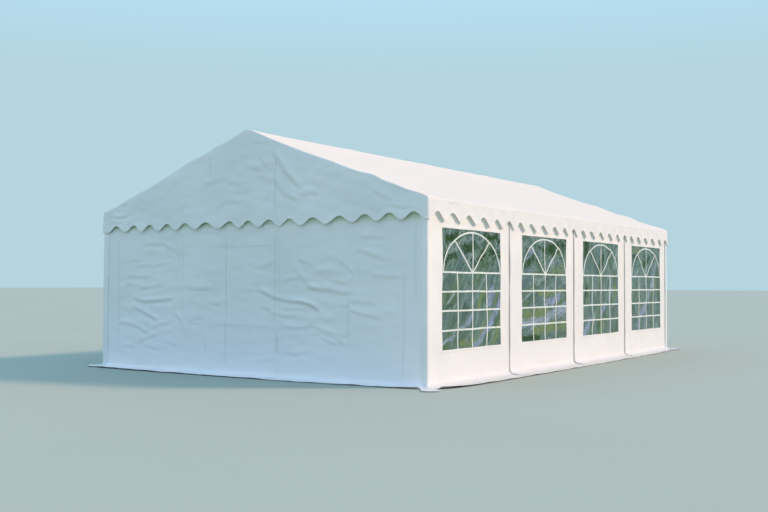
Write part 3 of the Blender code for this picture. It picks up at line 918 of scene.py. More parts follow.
def roofRelief(x, y):
    # it lies on the hubs, touches the poles between them, and sags in each field
    acrossField = np.abs(np.sin(math.pi * (np.abs(x) / poleLines[1]))) ** roof["fieldShape"]
    alongField = np.abs(np.sin(math.pi * (y - frameLines[0]) / bayLength)) ** roof["fieldShape"]
    relief = roof["onPole"] + roof["sag"] * acrossField * alongField
    height, size, seed = roof["swell"]
    relief += height * softNoise(x, y, size, seed) * acrossField * (0.25 + 0.75 * alongField)
    hubX, hubSpread, hubRise = roof["eaveHub"]
    for line in frameLines:
        for pole in poleLines:
            near = ridge(np.hypot(np.abs(x) - pole, (y - line) * 0.9), roof["hubSpread"])
            relief += (roof["onHub"] - roof["onPole"]) * near
        relief += hubRise * ridge(np.hypot(np.abs(x) - hubX, y - line), hubSpread)
    for end, place, spread, height in edgeRises:
        relief += height * ridge(x - place, spread) * ridge(y - end * coverY, roof["riseReach"])
    # close creases where the cloth is pulled over the eave
    height, size, seed = roof["creases"]
    eave = smooth((np.abs(x) - roof["creaseFrom"]) / 0.5)
    relief += height * eave * softNoise(x * 0.5, y, size, seed) * acrossField
    return relief


def scallopLift(place, gaps, depth):
    # the foot rises in the middle of each gap, and stays low between the outer gaps and the corners
    middles = np.array([2 * gaps[0] - gaps[1]] + gaps + [2 * gaps[-1] - gaps[-2]])
    count = np.interp(place, middles, np.arange(len(middles)))
    lift = depth * (1 + np.cos(2 * math.pi * count)) / 2
    within = (count > 0.5) & (count < len(middles) - 1.5)
    return np.where(within, lift, 0)


def buildCover():
    cellsX, cellsY = roof["cellsAcross"], roof["cellsAlong"]
    bpy.ops.object.select_all(action="DESELECT")
    bpy.ops.mesh.primitive_grid_add(x_subdivisions=cellsX, y_subdivisions=cellsY, size=1)
    cover = bpy.context.object
    giveName(cover, "roofCover")
    bpy.ops.object.mode_set(mode="EDIT")
    bpy.ops.mesh.select_mode(type="EDGE")
    bpy.ops.mesh.select_all(action="SELECT")
    bpy.ops.mesh.region_to_loop()
    bpy.ops.mesh.subdivide(number_cuts=1)
    bpy.ops.mesh.select_all(action="SELECT")
    bpy.ops.mesh.region_to_loop()
    for _ in range(roof["roundRows"] + roof["hangRows"]):
        bpy.ops.mesh.extrude_region_move(TRANSFORM_OT_translate={"value": (0, 0, -1)})
    bpy.ops.object.mode_set(mode="OBJECT")
    hangCover(cover)
    thicken(cover)
    return cover


def hangCover(cover):
    grid = readPoints(cover)
    cellsX, cellsY = roof["cellsAcross"], roof["cellsAlong"]
    corner = roof["cornerRadius"]
    straightX, straightY = coverX - corner, coverY - corner
    handX, handY = np.sign(grid[:, 0]), np.sign(grid[:, 1])
    ring = np.rint(-grid[:, 2])
    border = 0.4999                # the flat grid is 1 m square
    onEnd = np.abs(grid[:, 1]) > border
    onEdge = onEnd | (np.abs(grid[:, 0]) > border)
    # inside the border, the columns and rows are even between the corner arcs
    x = grid[:, 0] * (cellsX / (cellsX - 2) * 2) * straightX
    y = grid[:, 1] * (cellsY / (cellsY - 2) * 2) * straightY
    # along the border, the last cell at each end goes round the corner
    halfX = (0.5 - np.abs(grid[:, 0])) * cellsX * 2
    halfY = (0.5 - np.abs(grid[:, 1])) * cellsY * 2
    turn = np.where(onEnd, 45 + np.clip(halfX, 0, 2) * 22.5, 45 - np.clip(halfY, 0, 2) * 22.5)
    turn = np.radians(turn)
    inCornerX = np.where(onEnd, halfX < 2, True)
    inCornerY = np.where(onEdge & ~onEnd, halfY < 2, True)
    outX = np.where(inCornerX, handX * (straightX + corner * np.cos(turn)), x)
    outY = np.where(inCornerY, handY * (straightY + corner * np.sin(turn)), y)
    faceX = handX * np.cos(turn) * inCornerX
    faceY = handY * np.sin(turn) * inCornerY
    size = np.hypot(faceX, faceY)
    size = np.where(size > 0, size, 1)
    faceX, faceY = faceX / size, faceY / size
    # the edge rolls over from the roof's slope to straight down
    startTurn = np.arctan(math.tan(roofPitch) * np.abs(faceX))
    roll = startTurn + (math.pi / 2 - startTurn) * np.clip(ring / roof["roundRows"], 0, 1)
    # the roll is fuller in places, and the roof's last rows make room for it
    fuller = np.zeros(len(grid))
    for place, spread, extra in edgeLumps:
        fuller += extra * ridge(-handY * np.where(onEnd, outX, x) - place, spread)
    y = y - np.sign(y) * fuller * smooth((np.abs(y) - straightY + 0.5) / 0.5)
    radius = np.where(onEnd, roof["gableEdgeRadius"] + fuller, roof["edgeRadius"])
    inset, startInset = 1 - np.sin(roll), 1 - np.sin(startTurn)
    baseX = np.where(onEdge, outX - faceX * (radius * inset), x)
    baseY = np.where(onEdge, outY - faceY * (radius * inset), y)
    roofX = np.where(onEdge, outX - faceX * radius * startInset, x)
    roofY = np.where(onEdge, outY - faceY * radius * startInset, y)
    rollDown = radius * (np.cos(startTurn) - np.cos(roll))
    height = roofHeight(roofX) + roofRelief(roofX, np.clip(roofY, -coverY, coverY))
    height = height - np.where(onEdge, rollDown, 0)
    # what hangs below is even from the roll to the scalloped foot
    hang = np.clip((ring - roof["roundRows"]) / roof["hangRows"], 0, 1)
    height = height + (coverFoot + coverLift(outX, outY, onEnd) - height) * hang
    # waves and folds stand along the way the cloth faces, and die out at the roll and the corners
    right = np.where(onEnd, -np.sign(outY) * outX, 0)
    sway = np.where(onEnd, slackCloth(right, height, gableTop), sideRelief(outX, outY, height))
    toCorner = np.where(onEnd, coverX - np.abs(outX), coverY - np.abs(outY))
    fade = smooth(hang / roof["fadeReach"]) * np.minimum(toCorner / roof["fadeReach"], 1)
    sway = np.where(onEdge, sway * fade + roof["flare"] * hang, 0)
    writePoints(cover, np.column_stack([baseX + faceX * sway, baseY + faceY * sway, height]))


def sideRelief(outX, outY, height):
    return waves(np.sign(outX) * outY, height, roof["sideWaves"]) + 0.001


def coverLift(outX, outY, onEnd):
    onGable = -np.sign(outY) * outX
    onSide = np.sign(outX) * outY
    lift = np.where(
        onEnd, scallopLift(onGable, roof["gableGaps"], roof["gableDepth"]),
        scallopLift(onSide, roof["sideGaps"], roof["sideDepth"]))
    away = np.where(onEnd, coverX - onGable, coverY + onSide)
    return lift + roof["cornerPull"] * ridge(away, roof["pullReach"])


roofCover = buildCover()
finishPiece(roofCover, coverFinish, [
    "roof_sheet_left", "roof_sheet_right", "valance_left", "valance_right", "gable_front", "gable_rear"])
slope = coverX / math.cos(roofPitch)
eaveDrop = roofHeight(coverX) - coverFoot
ridgeDrop = coverRidge - coverFoot
meanLift = roof["sideDepth"] / 2
endArea = 2 * coverX * (eaveDrop + ridgeDrop) / 2 - 2 * coverX * meanLift
coverArea = 4 * slope * coverY + 2 * endArea + 4 * coverY * (eaveDrop - meanLift)
2 * (slope + eaveDrop)
print("marquee: cover hung")


# The gable walls, each with its doorway, and the door flap that fills it

# folds and patches of ripples, as on the gable above
wallFolds = [
    (0.017, 0.026, [(0.20, 1.02), (0.40, 0.94), (0.60, 0.905), (0.82, 0.89), (0.98, 0.855), (1.06, 0.80)]),
    (0.010, 0.024, [(0.80, 0.895), (0.94, 0.875), (1.06, 0.82)]),
    (0.005, 0.024, [(-0.02, 1.02), (0.20, 1.02), (0.38, 1.00)]),
    (0.009, 0.026, [(0.72, 1.27), (0.85, 1.16), (0.97, 1.06), (1.06, 1.04)]),
    (0.013, 0.026, [(0.90, 1.06), (1.05, 1.04), (1.25, 1.03), (1.38, 1.00), (1.52, 1.00)]),
    (0.008, 0.024, [(0.78, 1.38), (0.92, 1.345), (1.00, 1.31)]),
    (0.008, 0.024, [(0.58, 1.14), (0.68, 1.165), (0.80, 1.17)]),
    (0.008, 0.030, [(1.04, 1.22), (1.18, 1.26), (1.32, 1.25)]),
    (0.008, 0.028, [(1.36, 1.35), (1.46, 1.31), (1.56, 1.22)]),
    (0.007, 0.024, [(1.22, 1.14), (1.42, 1.12), (1.50, 1.10)]),
    (0.008, 0.024, [(0.55, 0.80), (0.72, 0.81), (0.90, 0.82)]),
    (0.007, 0.022, [(0.24, 0.81), (0.36, 0.80)]),
    (0.009, 0.024, [(0.36, 0.76), (0.56, 0.725), (0.74, 0.725)]),
    (0.011, 0.024, [(0.58, 0.60), (0.74, 0.585), (0.97, 0.61)]),
    (0.009, 0.024, [(1.00, 0.61), (1.18, 0.56), (1.32, 0.49), (1.44, 0.42)]),
    (0.008, 0.022, [(1.12, 0.49), (1.22, 0.44), (1.34, 0.42)]),
    (0.008, 0.022, [(1.18, 0.59), (1.30, 0.53), (1.48, 0.52)]),
    (0.007, 0.022, [(1.34, 0.86), (1.52, 0.85)]),
    (0.010, 0.024, [(1.52, 0.81), (1.64, 0.775), (1.78, 0.755), (1.94, 0.72)]),
    (0.008, 0.024, [(1.53, 0.91), (1.72, 0.90), (1.88, 0.88)]),
    (0.009, 0.024, [(1.66, 1.64), (1.80, 1.615), (1.98, 1.62)]),
    (0.008, 0.026, [(1.62, 1.49), (1.80, 1.43), (1.98, 1.38)]),
    (0.008, 0.024, [(1.82, 1.20), (2.00, 1.19), (2.20, 1.17)]),
    (0.006, 0.024, [(0.12, 1.29), (0.28, 1.31), (0.42, 1.36)]),
    (0.007, 0.024, [(0.58, 0.30), (0.74, 0.28), (0.90, 0.31)]),
    (0.006, 0.024, [(0.16, 0.17), (0.34, 0.21), (0.46, 0.22)]),
    (0.015, 0.025, [(-1.94, 0.91), (-1.84, 0.88), (-1.74, 0.87), (-1.50, 0.885), (-1.28, 0.905)]),
    (0.014, 0.025, [(-1.94, 0.785), (-1.80, 0.745), (-1.70, 0.70), (-1.54, 0.63)]),
    (0.013, 0.025, [(-2.22, 0.58), (-2.04, 0.58), (-1.90, 0.54), (-1.72, 0.47)]),
    (0.009, 0.024, [(-1.64, 0.52), (-1.48, 0.585), (-1.34, 0.585)]),
    (0.009, 0.024, [(-1.84, 0.36), (-1.70, 0.39), (-1.52, 0.46)]),
    (0.007, 0.024, [(-1.76, 0.30), (-1.60, 0.27), (-1.48, 0.26)]),
    (0.007, 0.026, [(-2.14, 0.29), (-1.96, 0.27)]),
    (0.007, 0.026, [(-1.32, 0.35), (-1.18, 0.31)]),
    (0.009, 0.026, [(-1.22, 0.72), (-1.12, 0.66), (-1.06, 0.58), (-1.05, 0.46)]),
    (0.009, 0.024, [(-1.86, 1.03), (-1.70, 1.055), (-1.44, 1.075)]),
    (0.007, 0.022, [(-2.10, 1.09), (-1.98, 1.09)]),
    (0.009, 0.022, [(-2.04, 1.19), (-1.84, 1.185), (-1.66, 1.19)]),
    (0.007, 0.022, [(-1.88, 1.33), (-1.74, 1.335), (-1.60, 1.33)]),
    (0.006, 0.022, [(-2.02, 1.41), (-1.82, 1.40)]),
    (0.009, 0.024, [(-1.78, 1.60), (-1.62, 1.625), (-1.50, 1.60), (-1.40, 1.61)]),
    (0.007, 0.024, [(-1.46, 1.62), (-1.34, 1.57), (-1.22, 1.52)]),
    (0.006, 0.024, [(-1.56, 1.33), (-1.40, 1.37), (-1.28, 1.36)]),
    (0.007, 0.026, [(-0.62, 0.86), (-0.46, 0.85)]),
    (0.006, 0.026, [(-1.02, 1.06), (-0.80, 1.03), (-0.60, 1.05)]),
    (0.006, 0.026, [(-0.90, 0.66), (-0.72, 0.68)]),
]
wallCrumples = [
    (-1.75, 1.10, 0.42, 0.0022, 0.10), (-1.62, 0.52, 0.38, 0.0022, 0.11), (1.12, 0.72, 0.28, 0.0030, 0.10),
    (0.70, 0.28, 0.32, 0.0022, 0.10), (1.75, 1.45, 0.34, 0.0018, 0.10), (1.25, 1.28, 0.26, 0.0022, 0.11),
    (-0.75, 0.80, 0.40, 0.0016, 0.12), (0.35, 1.40, 0.30, 0.0016, 0.12), (-2.15, 0.55, 0.22, 0.0018, 0.09),
]
gable = {
    "pitch": 0.023,
    "flapPitch": 0.026,
    "bendPitch": 0.018,
    "endGap": 0.015,           # the wall stops short of the corner, under the corner strip
    "bend": 0.07,
    "straightTop": 1.90,
    "topRows": 10,
    "topHeight": 0.8,          # of the pattern's top part, before it is cut to the roof's slope
    "roofGap": 0.03,
    "waves": [(0.0034, 0.75, 1.0, 41), (0.0015, 0.24, 1.5, 42)],
    "folds": wallFolds,
    "crumples": wallCrumples,
    "crumpleSeed": 150,
    "doorLap": 0.016,
    "doorProud": 0.0035,
    "doorPitch": 0.0184,
    "seams": [
        (-2.245, 0.003), (-1.09, 0.0018), (-0.32, 0.0028), (0.49, 0.0028), (2.31, 0.0026), (2.44, 0.0018)],
    "seamWidth": 0.010,
    "seamDip": 0.5,
    "shortSeam": (1.54, 0.40, 0.96, 0.003),      # place, from, to, height
    "shortSeamWidth": 0.012,
    "storageLines": [(1.57, -0.29, 0.41), (0.61, -0.29, 0.74), (1.57, 0.9, 2.0), (1.09, -2.3, -1.2)],
    "storageHeight": 0.0024,
    "storageWidth": 0.014,
    "closeRows": [1.57, 0.61],     # the rows lie close here, for the storage lines
    "clearOfLegs": 2.42,
    "flapPlaces": [-2.53, -2.3, -1.7, -0.8, 0.5, 1.06, 1.7, 2.26, 2.44, 2.53],
    "flapReach": [0.19, 0.215, 0.245, 0.265, 0.27, 0.265, 0.23, 0.185, 0.18, 0.16],
    "flapLift": [0.014, 0.015, 0.014, 0.009, 0.006, 0.005, 0.005, 0.010, 0.021, 0.030],
    "liftFrom": 0.35,
    # waves of the flap's reach and of its edge, and its ripples: height, size and seed
    "reachWaves": (0.006, 0.5, 43),
    "liftWaves": (0.003, 0.35, 44),
    "flapRipple": (0.0012, 0.3, 45),
}


def between(value, low, high, fade):
    return smooth((value - low) / fade) * smooth((high - value) / fade)


def gableWallRelief(x, z):
    relief = slackCloth(x, z, gable)
    line, low, high, height = gable["shortSeam"]
    relief += height * ridge(x - line, gable["shortSeamWidth"]) * between(z, low, high, 0.05)
    for line, low, high in gable["storageLines"]:
        crease = gable["storageHeight"] * ridge(z - line, gable["storageWidth"])
        relief += crease * between(x, low, high, 0.06)
    # nothing may press into the corner legs or the rafters behind
    nearLeg = smooth((gable["clearOfLegs"] - np.abs(x)) / 0.2)
    return np.where(relief < 0, relief * nearLeg, relief)


def hangGable(piece, proud=0.0):
    x, up = readPoints(piece)[:, :2].T
    out, height, faceOut, faceUp, share = layFlap(x, up, gable)
    relief = gableWallRelief(x, height) * (1 - smooth(share / 0.3)) + proud
    height = settleFlap(x, up, height + faceUp * relief, share, gable)
    writePoints(piece, np.column_stack([x, -(wallY + out + faceOut * relief), height]))


def gableRows():
    bend = gable["bend"]
    top = gable["straightTop"] - bend
    pitches = [gable["pitch"], gable["topHeight"] / gable["topRows"]]
    return joinStations(
        footRows(bend, flapReach, gable["flapPitch"], gable["bendPitch"]),
        runs([0, top, top + gable["topHeight"]], pitches, [line - bend for line in gable["closeRows"]]))


def gableWall():
    low, high = doorBox[0].x, doorBox[1].x
    lines = [line for line, _ in gable["seams"]] + [gable["shortSeam"][0]]
    edge = wallX - gable["endGap"]
    columns = runs([-edge, low, high, edge], [gable["pitch"]] * 3, lines)
    piece = cutPattern("frontWall", columns, gableRows())
    cutOut(piece, (low, -9), (high, doorBox[1].z - gable["bend"]))
    # above the straight part the pattern is cut to the roof's slope
    flat = readPoints(piece)
    straight = gable["straightTop"] - gable["bend"]
    share = np.maximum(0, flat[:, 1] - straight) / gable["topHeight"]
    slopeTop = roofHeight(flat[:, 0]) - gable["roofGap"] - gable["bend"]
    flat[:, 1] = np.minimum(flat[:, 1], straight) + share * (slopeTop - straight)
    writePoints(piece, flat)
    area = flatArea(piece)
    size = (2 * edge, float(flat[:, 1].max() - flat[:, 1].min()))
    hangGable(piece)
    thicken(piece)
    return piece, size, area


def gableDoor():
    lap = gable["doorLap"]
    low, high = doorBox[0].x - lap, doorBox[1].x + lap
    top = doorBox[1].z - gable["bend"] + lap
    rows = gableRows()
    rows = np.append(rows[rows < top - 0.01], top)
    columns = stations(low, high, gable["doorPitch"], [line for line, _ in gable["seams"]])
    piece = cutPattern("frontDoor", columns, rows)
    area = flatArea(piece)
    size = (high - low, float(rows[-1] - rows[0]))
    hangGable(piece, gable["doorProud"])
    thicken(piece)
    return piece, size, area


frontWall, gableSize, gableArea = gableWall()
frontDoor, doorSize, doorArea = gableDoor()
rearWall = turnedCopy(frontWall, "rearWall")
rearDoor = turnedCopy(frontDoor, "rearDoor")
for wall, door, end in ((frontWall, frontDoor, "front"), (rearWall, rearDoor, "rear")):
    finishPiece(wall, gableFinish, [f"{end}_wall"])
    finishPiece(door, gableFinish, [f"{end}_door_flap"])
    number = 1 if end == "front" else 5
print("marquee: gable walls and doors hung")


# The side walls: four panels, each lapped over the one before it, with a window in each

side = {
    "pitch": 0.025,
    "flapPitch": 0.026,
    "bendPitch": 0.015,
    "nosePitch": 0.002,
    "frontPitch": 0.0125,
    "frontBand": 0.15,
    "rearPitch": 0.010,
    "rearBand": 0.16,
    "weltPitch": 0.008,
    "weltBand": 0.04,
    "topGap": 0.004,
    "bend": 0.07,
    "rearLap": 0.035,
    "lastLap": 0.013,
    "edgeLift": 0.0125,        # the lapped front edge stands off the panel below it
    "edgeFade": 0.12,
    "edgeHeld": 0.35,          # this share of the lift goes where the valance holds the edge
    "heldFrom": 1.62,
    "heldBand": 0.25,
    "lapProud": 0.0022,
    "noseWidth": 0.012,        # its edge is turned in towards the panel below
    "hems": [(0.04, 0.0020), (0.12, 0.0016)],    # weld ridges, from the rear edge
    "hemWidth": 0.009,
    "waves": [(0.0020, 0.6, 1.0, 50), (0.0009, 0.2, 0.6, 60)],
    "swing": 0.05,             # the lower front corner swings back by this along the bend
    "welt": 0.0022,            # weld border round the window
    "weltWidth": 0.032,
    "flapPlaces": [-4.03, -3.9, -3.6, -3.1, -1.6, 0.2, 2.5, 4.03],
    "flapReach": [0.20, 0.24, 0.29, 0.31, 0.305, 0.29, 0.25, 0.21],
    "flapLift": [0.032, 0.024, 0.013, 0.014, 0.008, 0.004, 0.003, 0.006],
    "liftFrom": 0.3,
    "reachWaves": (0.005, 0.45, 46),
    "liftWaves": (0.0035, 0.3, 47),
    "flapRipple": (0.001, 0.3, 48),
}


def windowHole(number):
    low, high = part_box(f"window_right_{number}")
    return low.y + paneLap, high.y - paneLap, low.z + paneLap, high.z - paneLap


def pastHole(y, z, number):
    # distance from the edge of the window's hole, less than zero inside it
    yLow, yHigh, zLow, zHigh = windowHole(number)
    return np.maximum(np.maximum(yLow - y, y - yHigh), np.maximum(zLow - z, z - zHigh))


def panelEnds(number):
    start = frameLines[number - 1] - sideLaps[number - 1]
    return start, frameLines[number] + (side["rearLap"] if number < 4 else side["lastLap"])


def sideWallRelief(y, z, number):
    # by the legs and the eave pole nothing is pressed in, and little stands out
    relief = waves(y, z, side["waves"], number)
    nearest = np.min([np.abs(y - line) for line in frameLines], axis=0)
    free = smooth((nearest - 0.05) / 0.15) * smooth((eaveTop - 0.1 - z) / 0.2)
    return np.where(relief < 0, relief * free, relief * (0.3 + 0.7 * free))


def windowWelt(y, z, number):
    outside = pastHole(y, z, number)
    return side["welt"] * smooth((side["weltWidth"] - outside) / 0.008) * (outside > -0.2)


def lappedEdge(y, height, share, number):
    # from the second panel on, the front edge stands off the panel below it, with its nose turned in
    past = y - panelEnds(number)[0]
    hold = 1 - side["edgeHeld"] * smooth((height - side["heldFrom"]) / side["heldBand"])
    along = 1 + 0.12 * softNoise(height, 0 * height, 0.4, 70 + number)
    lift = side["edgeLift"] * (1 - smooth(past / side["edgeFade"])) * hold * along
    turned = 1 - np.clip(past / side["noseWidth"], 0, 1)
    lift *= 0.12 + 0.88 * np.sqrt(1 - turned * turned)
    proud = side["lapProud"] * (1 - smooth((past - side["edgeFade"]) / 0.1))
    return lift * (1 - 0.85 * smooth(share / 0.3)) + proud


def hangSide(piece, number):
    y, up = readPoints(piece)[:, :2].T
    start, end = panelEnds(number)
    hemFrom = end if number < 4 else frameLines[4]
    out, height, faceOut, faceUp, share = layFlap(y, up, side)
    relief = sideWallRelief(y, height, number) + windowWelt(y, height, number)
    for place, high in side["hems"]:
        relief += high * ridge(y - (hemFrom - place), side["hemWidth"])
    relief *= 1 - smooth(share / 0.3)
    if number > 1:
        relief += lappedEdge(y, height, share, number)
        y = y + side["swing"] * smooth(-(up - 0.01) / 0.2) * (1 - smooth((y - start) / 0.4))
    # the hole's edge strays a little
    stray = window["wander"] * (1 - smooth((np.abs(pastHole(y, height, number)) - 0.03) / 0.12))
    y = y + stray * softNoise(y, height, 0.30, 110 + number)
    height = height + stray * softNoise(y, height, 0.30, 115 + number)
    height = settleFlap(y, up, height + faceUp * relief, share, side)
    writePoints(piece, np.column_stack([wallX + out + faceOut * relief, y, height]))


def sidePanel(number):
    yLow, yHigh, zLow, zHigh = windowHole(number)
    start, end = panelEnds(number)
    bend, pitch, welt = side["bend"], side["pitch"], side["weltBand"]
    low, high = zLow - bend, zHigh - bend
    front, rear = start + side["frontBand"], end - side["rearBand"]
    columns = runs(
        [start, start + side["noseWidth"], front, yLow, yHigh, rear, end],
        [side["nosePitch"], side["frontPitch"], pitch, pitch, pitch, side["rearPitch"]])
    upright = runs(
        [0, low - welt, low, high, high + welt, eaveTop - bend - side["topGap"]],
        [pitch, side["weltPitch"], pitch, side["weltPitch"], pitch])
    rows = joinStations(footRows(bend, flapReach, side["flapPitch"], side["bendPitch"]), upright)
    piece = cutPattern(f"sideWallRight{number}", columns, rows)
    cutOut(piece, (yLow, low), (yHigh, high))
    size = (end - start, float(rows[-1] - rows[0]))
    area = flatArea(piece)
    hangSide(piece, number)
    thicken(piece)
    return piece, size, area


# Windows: a clear pane behind each hole, and a lattice of flat bars welded on it

window = {
    "pitch": 0.024,
    "thickness": 0.0008,
    "edgeGap": 0.002,          # from the pane's edge to that of the frame's pane
    "ripple": 0.0034,
    "settle": 0.10,            # the ripples die out this far from the edge
    "barWidth": 0.020,
    "barThickness": 0.0010,
    "barGap": 0.0006,
    "layerStep": 0.0004,       # bars that cross lie on each other
    "uprightLap": 0.004,       # bars run past the hole's edge by this
    "rowLap": 0.007,
    "uprights": [0.25, 0.5, 0.75],     # shares of the hole's width
    "rows": [0.213, 0.43, 0.645],      # heights above the sill
    "transom": 0.86,
    "archTop": 1.32,
    "archHalf": 0.68,
    "archSteps": 36,
    "spokeSlope": 0.86,        # rise over run, as the spokes leave the transom
    "barStep": 0.035,
    "wander": 0.0011,          # bars and hole edges stray by this in their plane
}


def paneFace(y, z, number):
    # the pane's outer face, X over its plane
    settle = smooth(-pastHole(y, z, number) / window["settle"])
    tall = softNoise(y, z * 0.35, 0.16, 80 + number)
    slant = softNoise(y + z * 0.6, z * 0.3, 0.33, 90 + number)
    ripple = window["ripple"] * settle * (0.5 * tall + 0.7 * slant - 0.5)
    relief = sideWallRelief(y, z, number) + side["welt"] + ripple
    return wallX - cloth["thickness"] - window["thickness"] + relief


def buildPane(number):
    yLow, yHigh, zLow, zHigh = windowHole(number)
    lap, pitch = paneLap - window["edgeGap"], window["pitch"]
    columns, rows = stations(yLow - lap, yHigh + lap, pitch), stations(zLow - lap, zHigh + lap, pitch)
    piece = cutPattern(f"windowRight{number}", columns, rows)
    size = (yHigh - yLow + 2 * lap, zHigh - zLow + 2 * lap)
    y, z = readPoints(piece)[:, :2].T
    writePoints(piece, np.column_stack([paneFace(y, z, number), y, z]))
    thicken(piece, window["thickness"])
    return piece, size


def addBar(points, layer, number):
    # one flat strip that follows the points, lying on the rippled pane
    points = np.array(points)
    reached = np.concatenate([[0], np.cumsum(np.hypot(*np.diff(points, axis=0).T))])
    count = max(2, round(reached[-1] / window["barStep"]))
    along = np.linspace(0, reached[-1], count + 1)
    middle = np.column_stack([np.interp(along, reached, points[:, axis]) for axis in (0, 1)])
    heading = np.gradient(middle, axis=0)
    heading /= np.hypot(*heading.T)[:, None]
    bar = cutPattern("bar", along, np.array([-1.0, 0.0, 1.0]) * window["barWidth"] / 2)
    flat = readPoints(bar)
    place = np.rint(flat[:, 0] / reached[-1] * count).astype(int)
    y = middle[place, 0] - heading[place, 1] * flat[:, 1]
    z = middle[place, 1] + heading[place, 0] * flat[:, 1]
    strayY, strayZ = (window["wander"] * softNoise(y, z, 0.45, seed + number) for seed in (120, 130))
    x = paneFace(y, z, number) + window["barGap"] + window["barThickness"] + layer * window["layerStep"]
    writePoints(bar, np.column_stack([x, y + strayY, z + strayZ]))
    return bar


def barLines(number):
    # the lattice of one window: layer and line of each bar
    yLow, yHigh, zLow, _ = windowHole(number)
    middle, transom, top = (yLow + yHigh) / 2, zLow + window["transom"], zLow + window["archTop"]
    rise = window["archTop"] - window["transom"]
    half = window["archHalf"]
    for share in window["uprights"]:
        place = yLow + (yHigh - yLow) * share
        yield 0, [(place, zLow - window["uprightLap"]), (place, transom)]
    yield 0, [(middle, transom), (middle, top)]
    # the spokes end on the arch
    spoke = 1 / math.hypot(1 / half, window["spokeSlope"] / rise)
    for away in (-spoke, spoke):
        yield 1, [(middle, transom), (middle + away, transom + window["spokeSlope"] * spoke)]
    for height in window["rows"] + [window["transom"]]:
        ends = yLow - window["rowLap"], yHigh + window["rowLap"]
        yield 2, [(place, zLow + height) for place in ends]
    turns = np.linspace(0, math.pi, window["archSteps"] + 1)
    yield 3, [(middle - half * math.cos(turn), transom + rise * math.sin(turn)) for turn in turns]


def buildBars(number):
    bars = [addBar(line, layer, number) for layer, line in barLines(number)]
    bpy.ops.object.select_all(action="DESELECT")
    for bar in bars:
        bar.select_set(True)
    bpy.context.view_layer.objects.active = bars[0]
    bpy.ops.object.join()
    lattice = bpy.context.object
    giveName(lattice, f"windowBarsRight{number}")
    thicken(lattice, window["barThickness"])
    return lattice


def addBay(number):
    wall, wallSize, wallArea = sidePanel(number)
    glass, glassSize = buildPane(number)
    near = (wall, glass, buildBars(number))
    opposite = 5 - number
    names = ("sideWallLeft", "windowLeft", "windowBarsLeft")
    far = [turnedCopy(piece, f"{name}{opposite}") for piece, name in zip(near, names)]
    for (panel, sheet, lattice), hand, place in ((near, "right", number), (far, "left", opposite)):
        finishPiece(panel, sideFinish, [f"side_wall_{hand}_{place}"])
        finishPiece(sheet, paneFinishes[number - 1], [f"window_{hand}_{place}"])
        finishPiece(lattice, barFinish)


for bay in range(1, 5):
    addBay(bay)
print("marquee: side walls and windows hung")


# Corner strips: each wraps a corner, covers the ends of two walls, and spreads into a tongue on the ground

strip = {
    "width": 0.09,
    "radius": 0.024,
    "proud": 0.016,
    "bend": 0.06,
    "flapPitch": 0.02,
    "bendPitch": 0.012,
    "rowPitch": 0.03,
    "middlePitch": 0.009,
    "nosePitch": 0.003,
    "nose": 0.012,             # its edges are turned in over this width
    "noseDepth": 0.85,         # share of what the edge stands off by
    "flatMiddle": 0.03,
    "topGap": 0.03,
    "offGround": 0.0065,
    "tongueRise": 0.007,
    "tipRound": 0.006,
    "waves": (0.10, 0.35, 101),        # of the lift: share, size and seed
    "creases": (0.0008, 0.3, 102),     # height, size and seed
    # the tongue's length, its outer corners, and how far the two long edges stand off
    "right": (0.36, ((2.685, 4.395), (2.842, 4.290)), (0.006, 0.007)),
    "left": (0.30, ((2.600, 4.265), (2.790, 4.040)), (0.011, 0.0195)),
}


def cornerPlan(across, radius):
    # round the corner: along the gable before it, along the side after it
    turn = np.clip(across / radius + math.pi / 4, 0, math.pi / 2)
    past = np.maximum(0, np.abs(across) - radius * math.pi / 4)
    x = wallX + strip["proud"] - radius + radius * np.sin(turn) - np.where(across < 0, past, 0)
    y = wallY + strip["proud"] - radius + radius * np.cos(turn) - np.where(across > 0, past, 0)
    return x, y, np.sin(turn), np.cos(turn)


def stripLift(across, height, edgeLifts):
    # how far the strip stands off its plan: the long edges lift, and their nose is turned in
    width = strip["width"]
    edge = np.where(across < 0, *edgeLifts)
    toEdge = smooth((np.abs(across) - strip["flatMiddle"]) / (width - strip["flatMiddle"]))
    turned = 1 - np.clip((width - np.abs(across)) / strip["nose"], 0, 1)
    lift = (edge - strip["proud"]) * toEdge - strip["noseDepth"] * edge * (1 - np.sqrt(1 - turned * turned))
    swell, size, seed = strip["waves"]
    lift = lift * (1 + swell * softNoise(height, across * 0, size, seed))
    crease, size, seed = strip["creases"]
    return lift + crease * softNoise(across, height, size, seed)


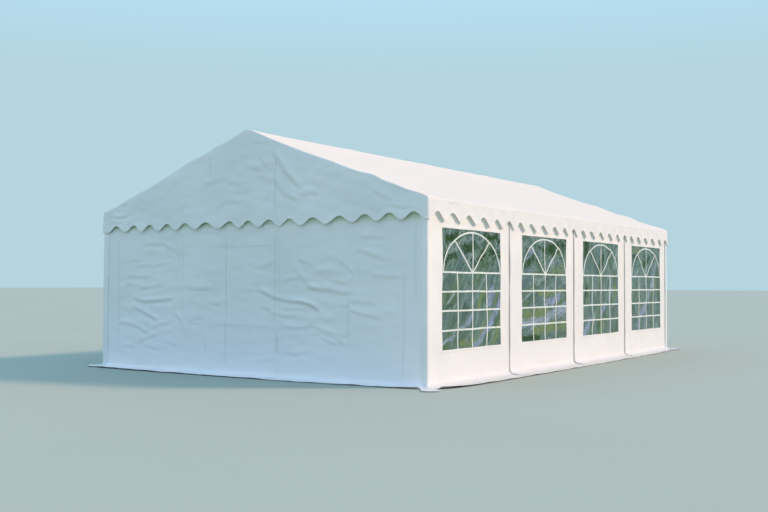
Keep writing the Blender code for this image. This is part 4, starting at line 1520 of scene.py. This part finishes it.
def cornerStrip(name, handX, reach, ends, edgeLifts):
    width, bend, nose = strip["width"], strip["bend"], strip["nose"]
    columns = runs(
        [-width, nose - width, width - nose, width],
        [strip["nosePitch"], strip["middlePitch"], strip["nosePitch"]])
    rows = joinStations(
        footRows(bend, reach, strip["flapPitch"], strip["bendPitch"]),
        stations(0, eaveTop - strip["topGap"] - bend, strip["rowPitch"]))
    piece = cutPattern(name, columns, rows)
    size = (2 * width, float(rows[-1] - rows[0]))
    across, up = readPoints(piece)[:, :2].T
    out, height, _, _ = footCurve(up, bend)
    planX, planY, faceX, faceY = cornerPlan(across, strip["radius"])
    # down at the ground it runs out towards the tongue's rounded end
    share = np.minimum(1, out / reach)
    half = across / width
    rounded = strip["tipRound"] * half ** 4 * 0.7
    (firstX, firstY), (lastX, lastY) = ends
    tipX = firstX + (lastX - firstX) * (half + 1) / 2 - rounded
    tipY = firstY + (lastY - firstY) * (half + 1) / 2 - rounded
    leave = stripLift(across, height, edgeLifts) * (1 - smooth(share / 0.4))
    x = (planX + faceX * leave) * (1 - share) + tipX * share
    y = (planY + faceY * leave) * (1 - share) + tipY * share
    rise = strip["offGround"] + strip["tongueRise"] * smooth(share) * (0.4 + 0.6 * half ** 2)
    height = height + smooth(-up / (bend * math.pi / 2)) * rise
    writePoints(piece, np.column_stack([handX * x, -y, height]))
    if handX < 0:
        flipFaces(piece)
    thicken(piece)
    return piece, size


def flipFaces(piece):
    pick(piece)
    bpy.ops.object.mode_set(mode="EDIT")
    bpy.ops.mesh.select_all(action="SELECT")
    bpy.ops.mesh.flip_normals()
    bpy.ops.object.mode_set(mode="OBJECT")


rightStrip, rightSize = cornerStrip("cornerStripFrontRight", 1, *strip["right"])
leftStrip, leftSize = cornerStrip("cornerStripFrontLeft", -1, *strip["left"])
rearLeft = turnedCopy(rightStrip, "cornerStripRearLeft")
rearRight = turnedCopy(leftStrip, "cornerStripRearRight")
cornerLegs = [
    (rightStrip, rightSize, "leg_right_1"), (leftStrip, leftSize, "leg_left_1"),
    (rearLeft, rightSize, "leg_left_5"), (rearRight, leftSize, "leg_right_5")]
for piece, stripSize, leg in cornerLegs:
    finishPiece(piece, sideFinish)
print("marquee: corner strips hung")


# The steel keeps its own shape and gets its finish

for name, pole in bpy.data.objects.items():
    if name.startswith(("leg_", "rafter_", "ridge_purlin", "eave_purlin", "roof_purlin")):
        for slot in pole.material_slots:
            slot.material = steelFinish

print("marquee: finished")
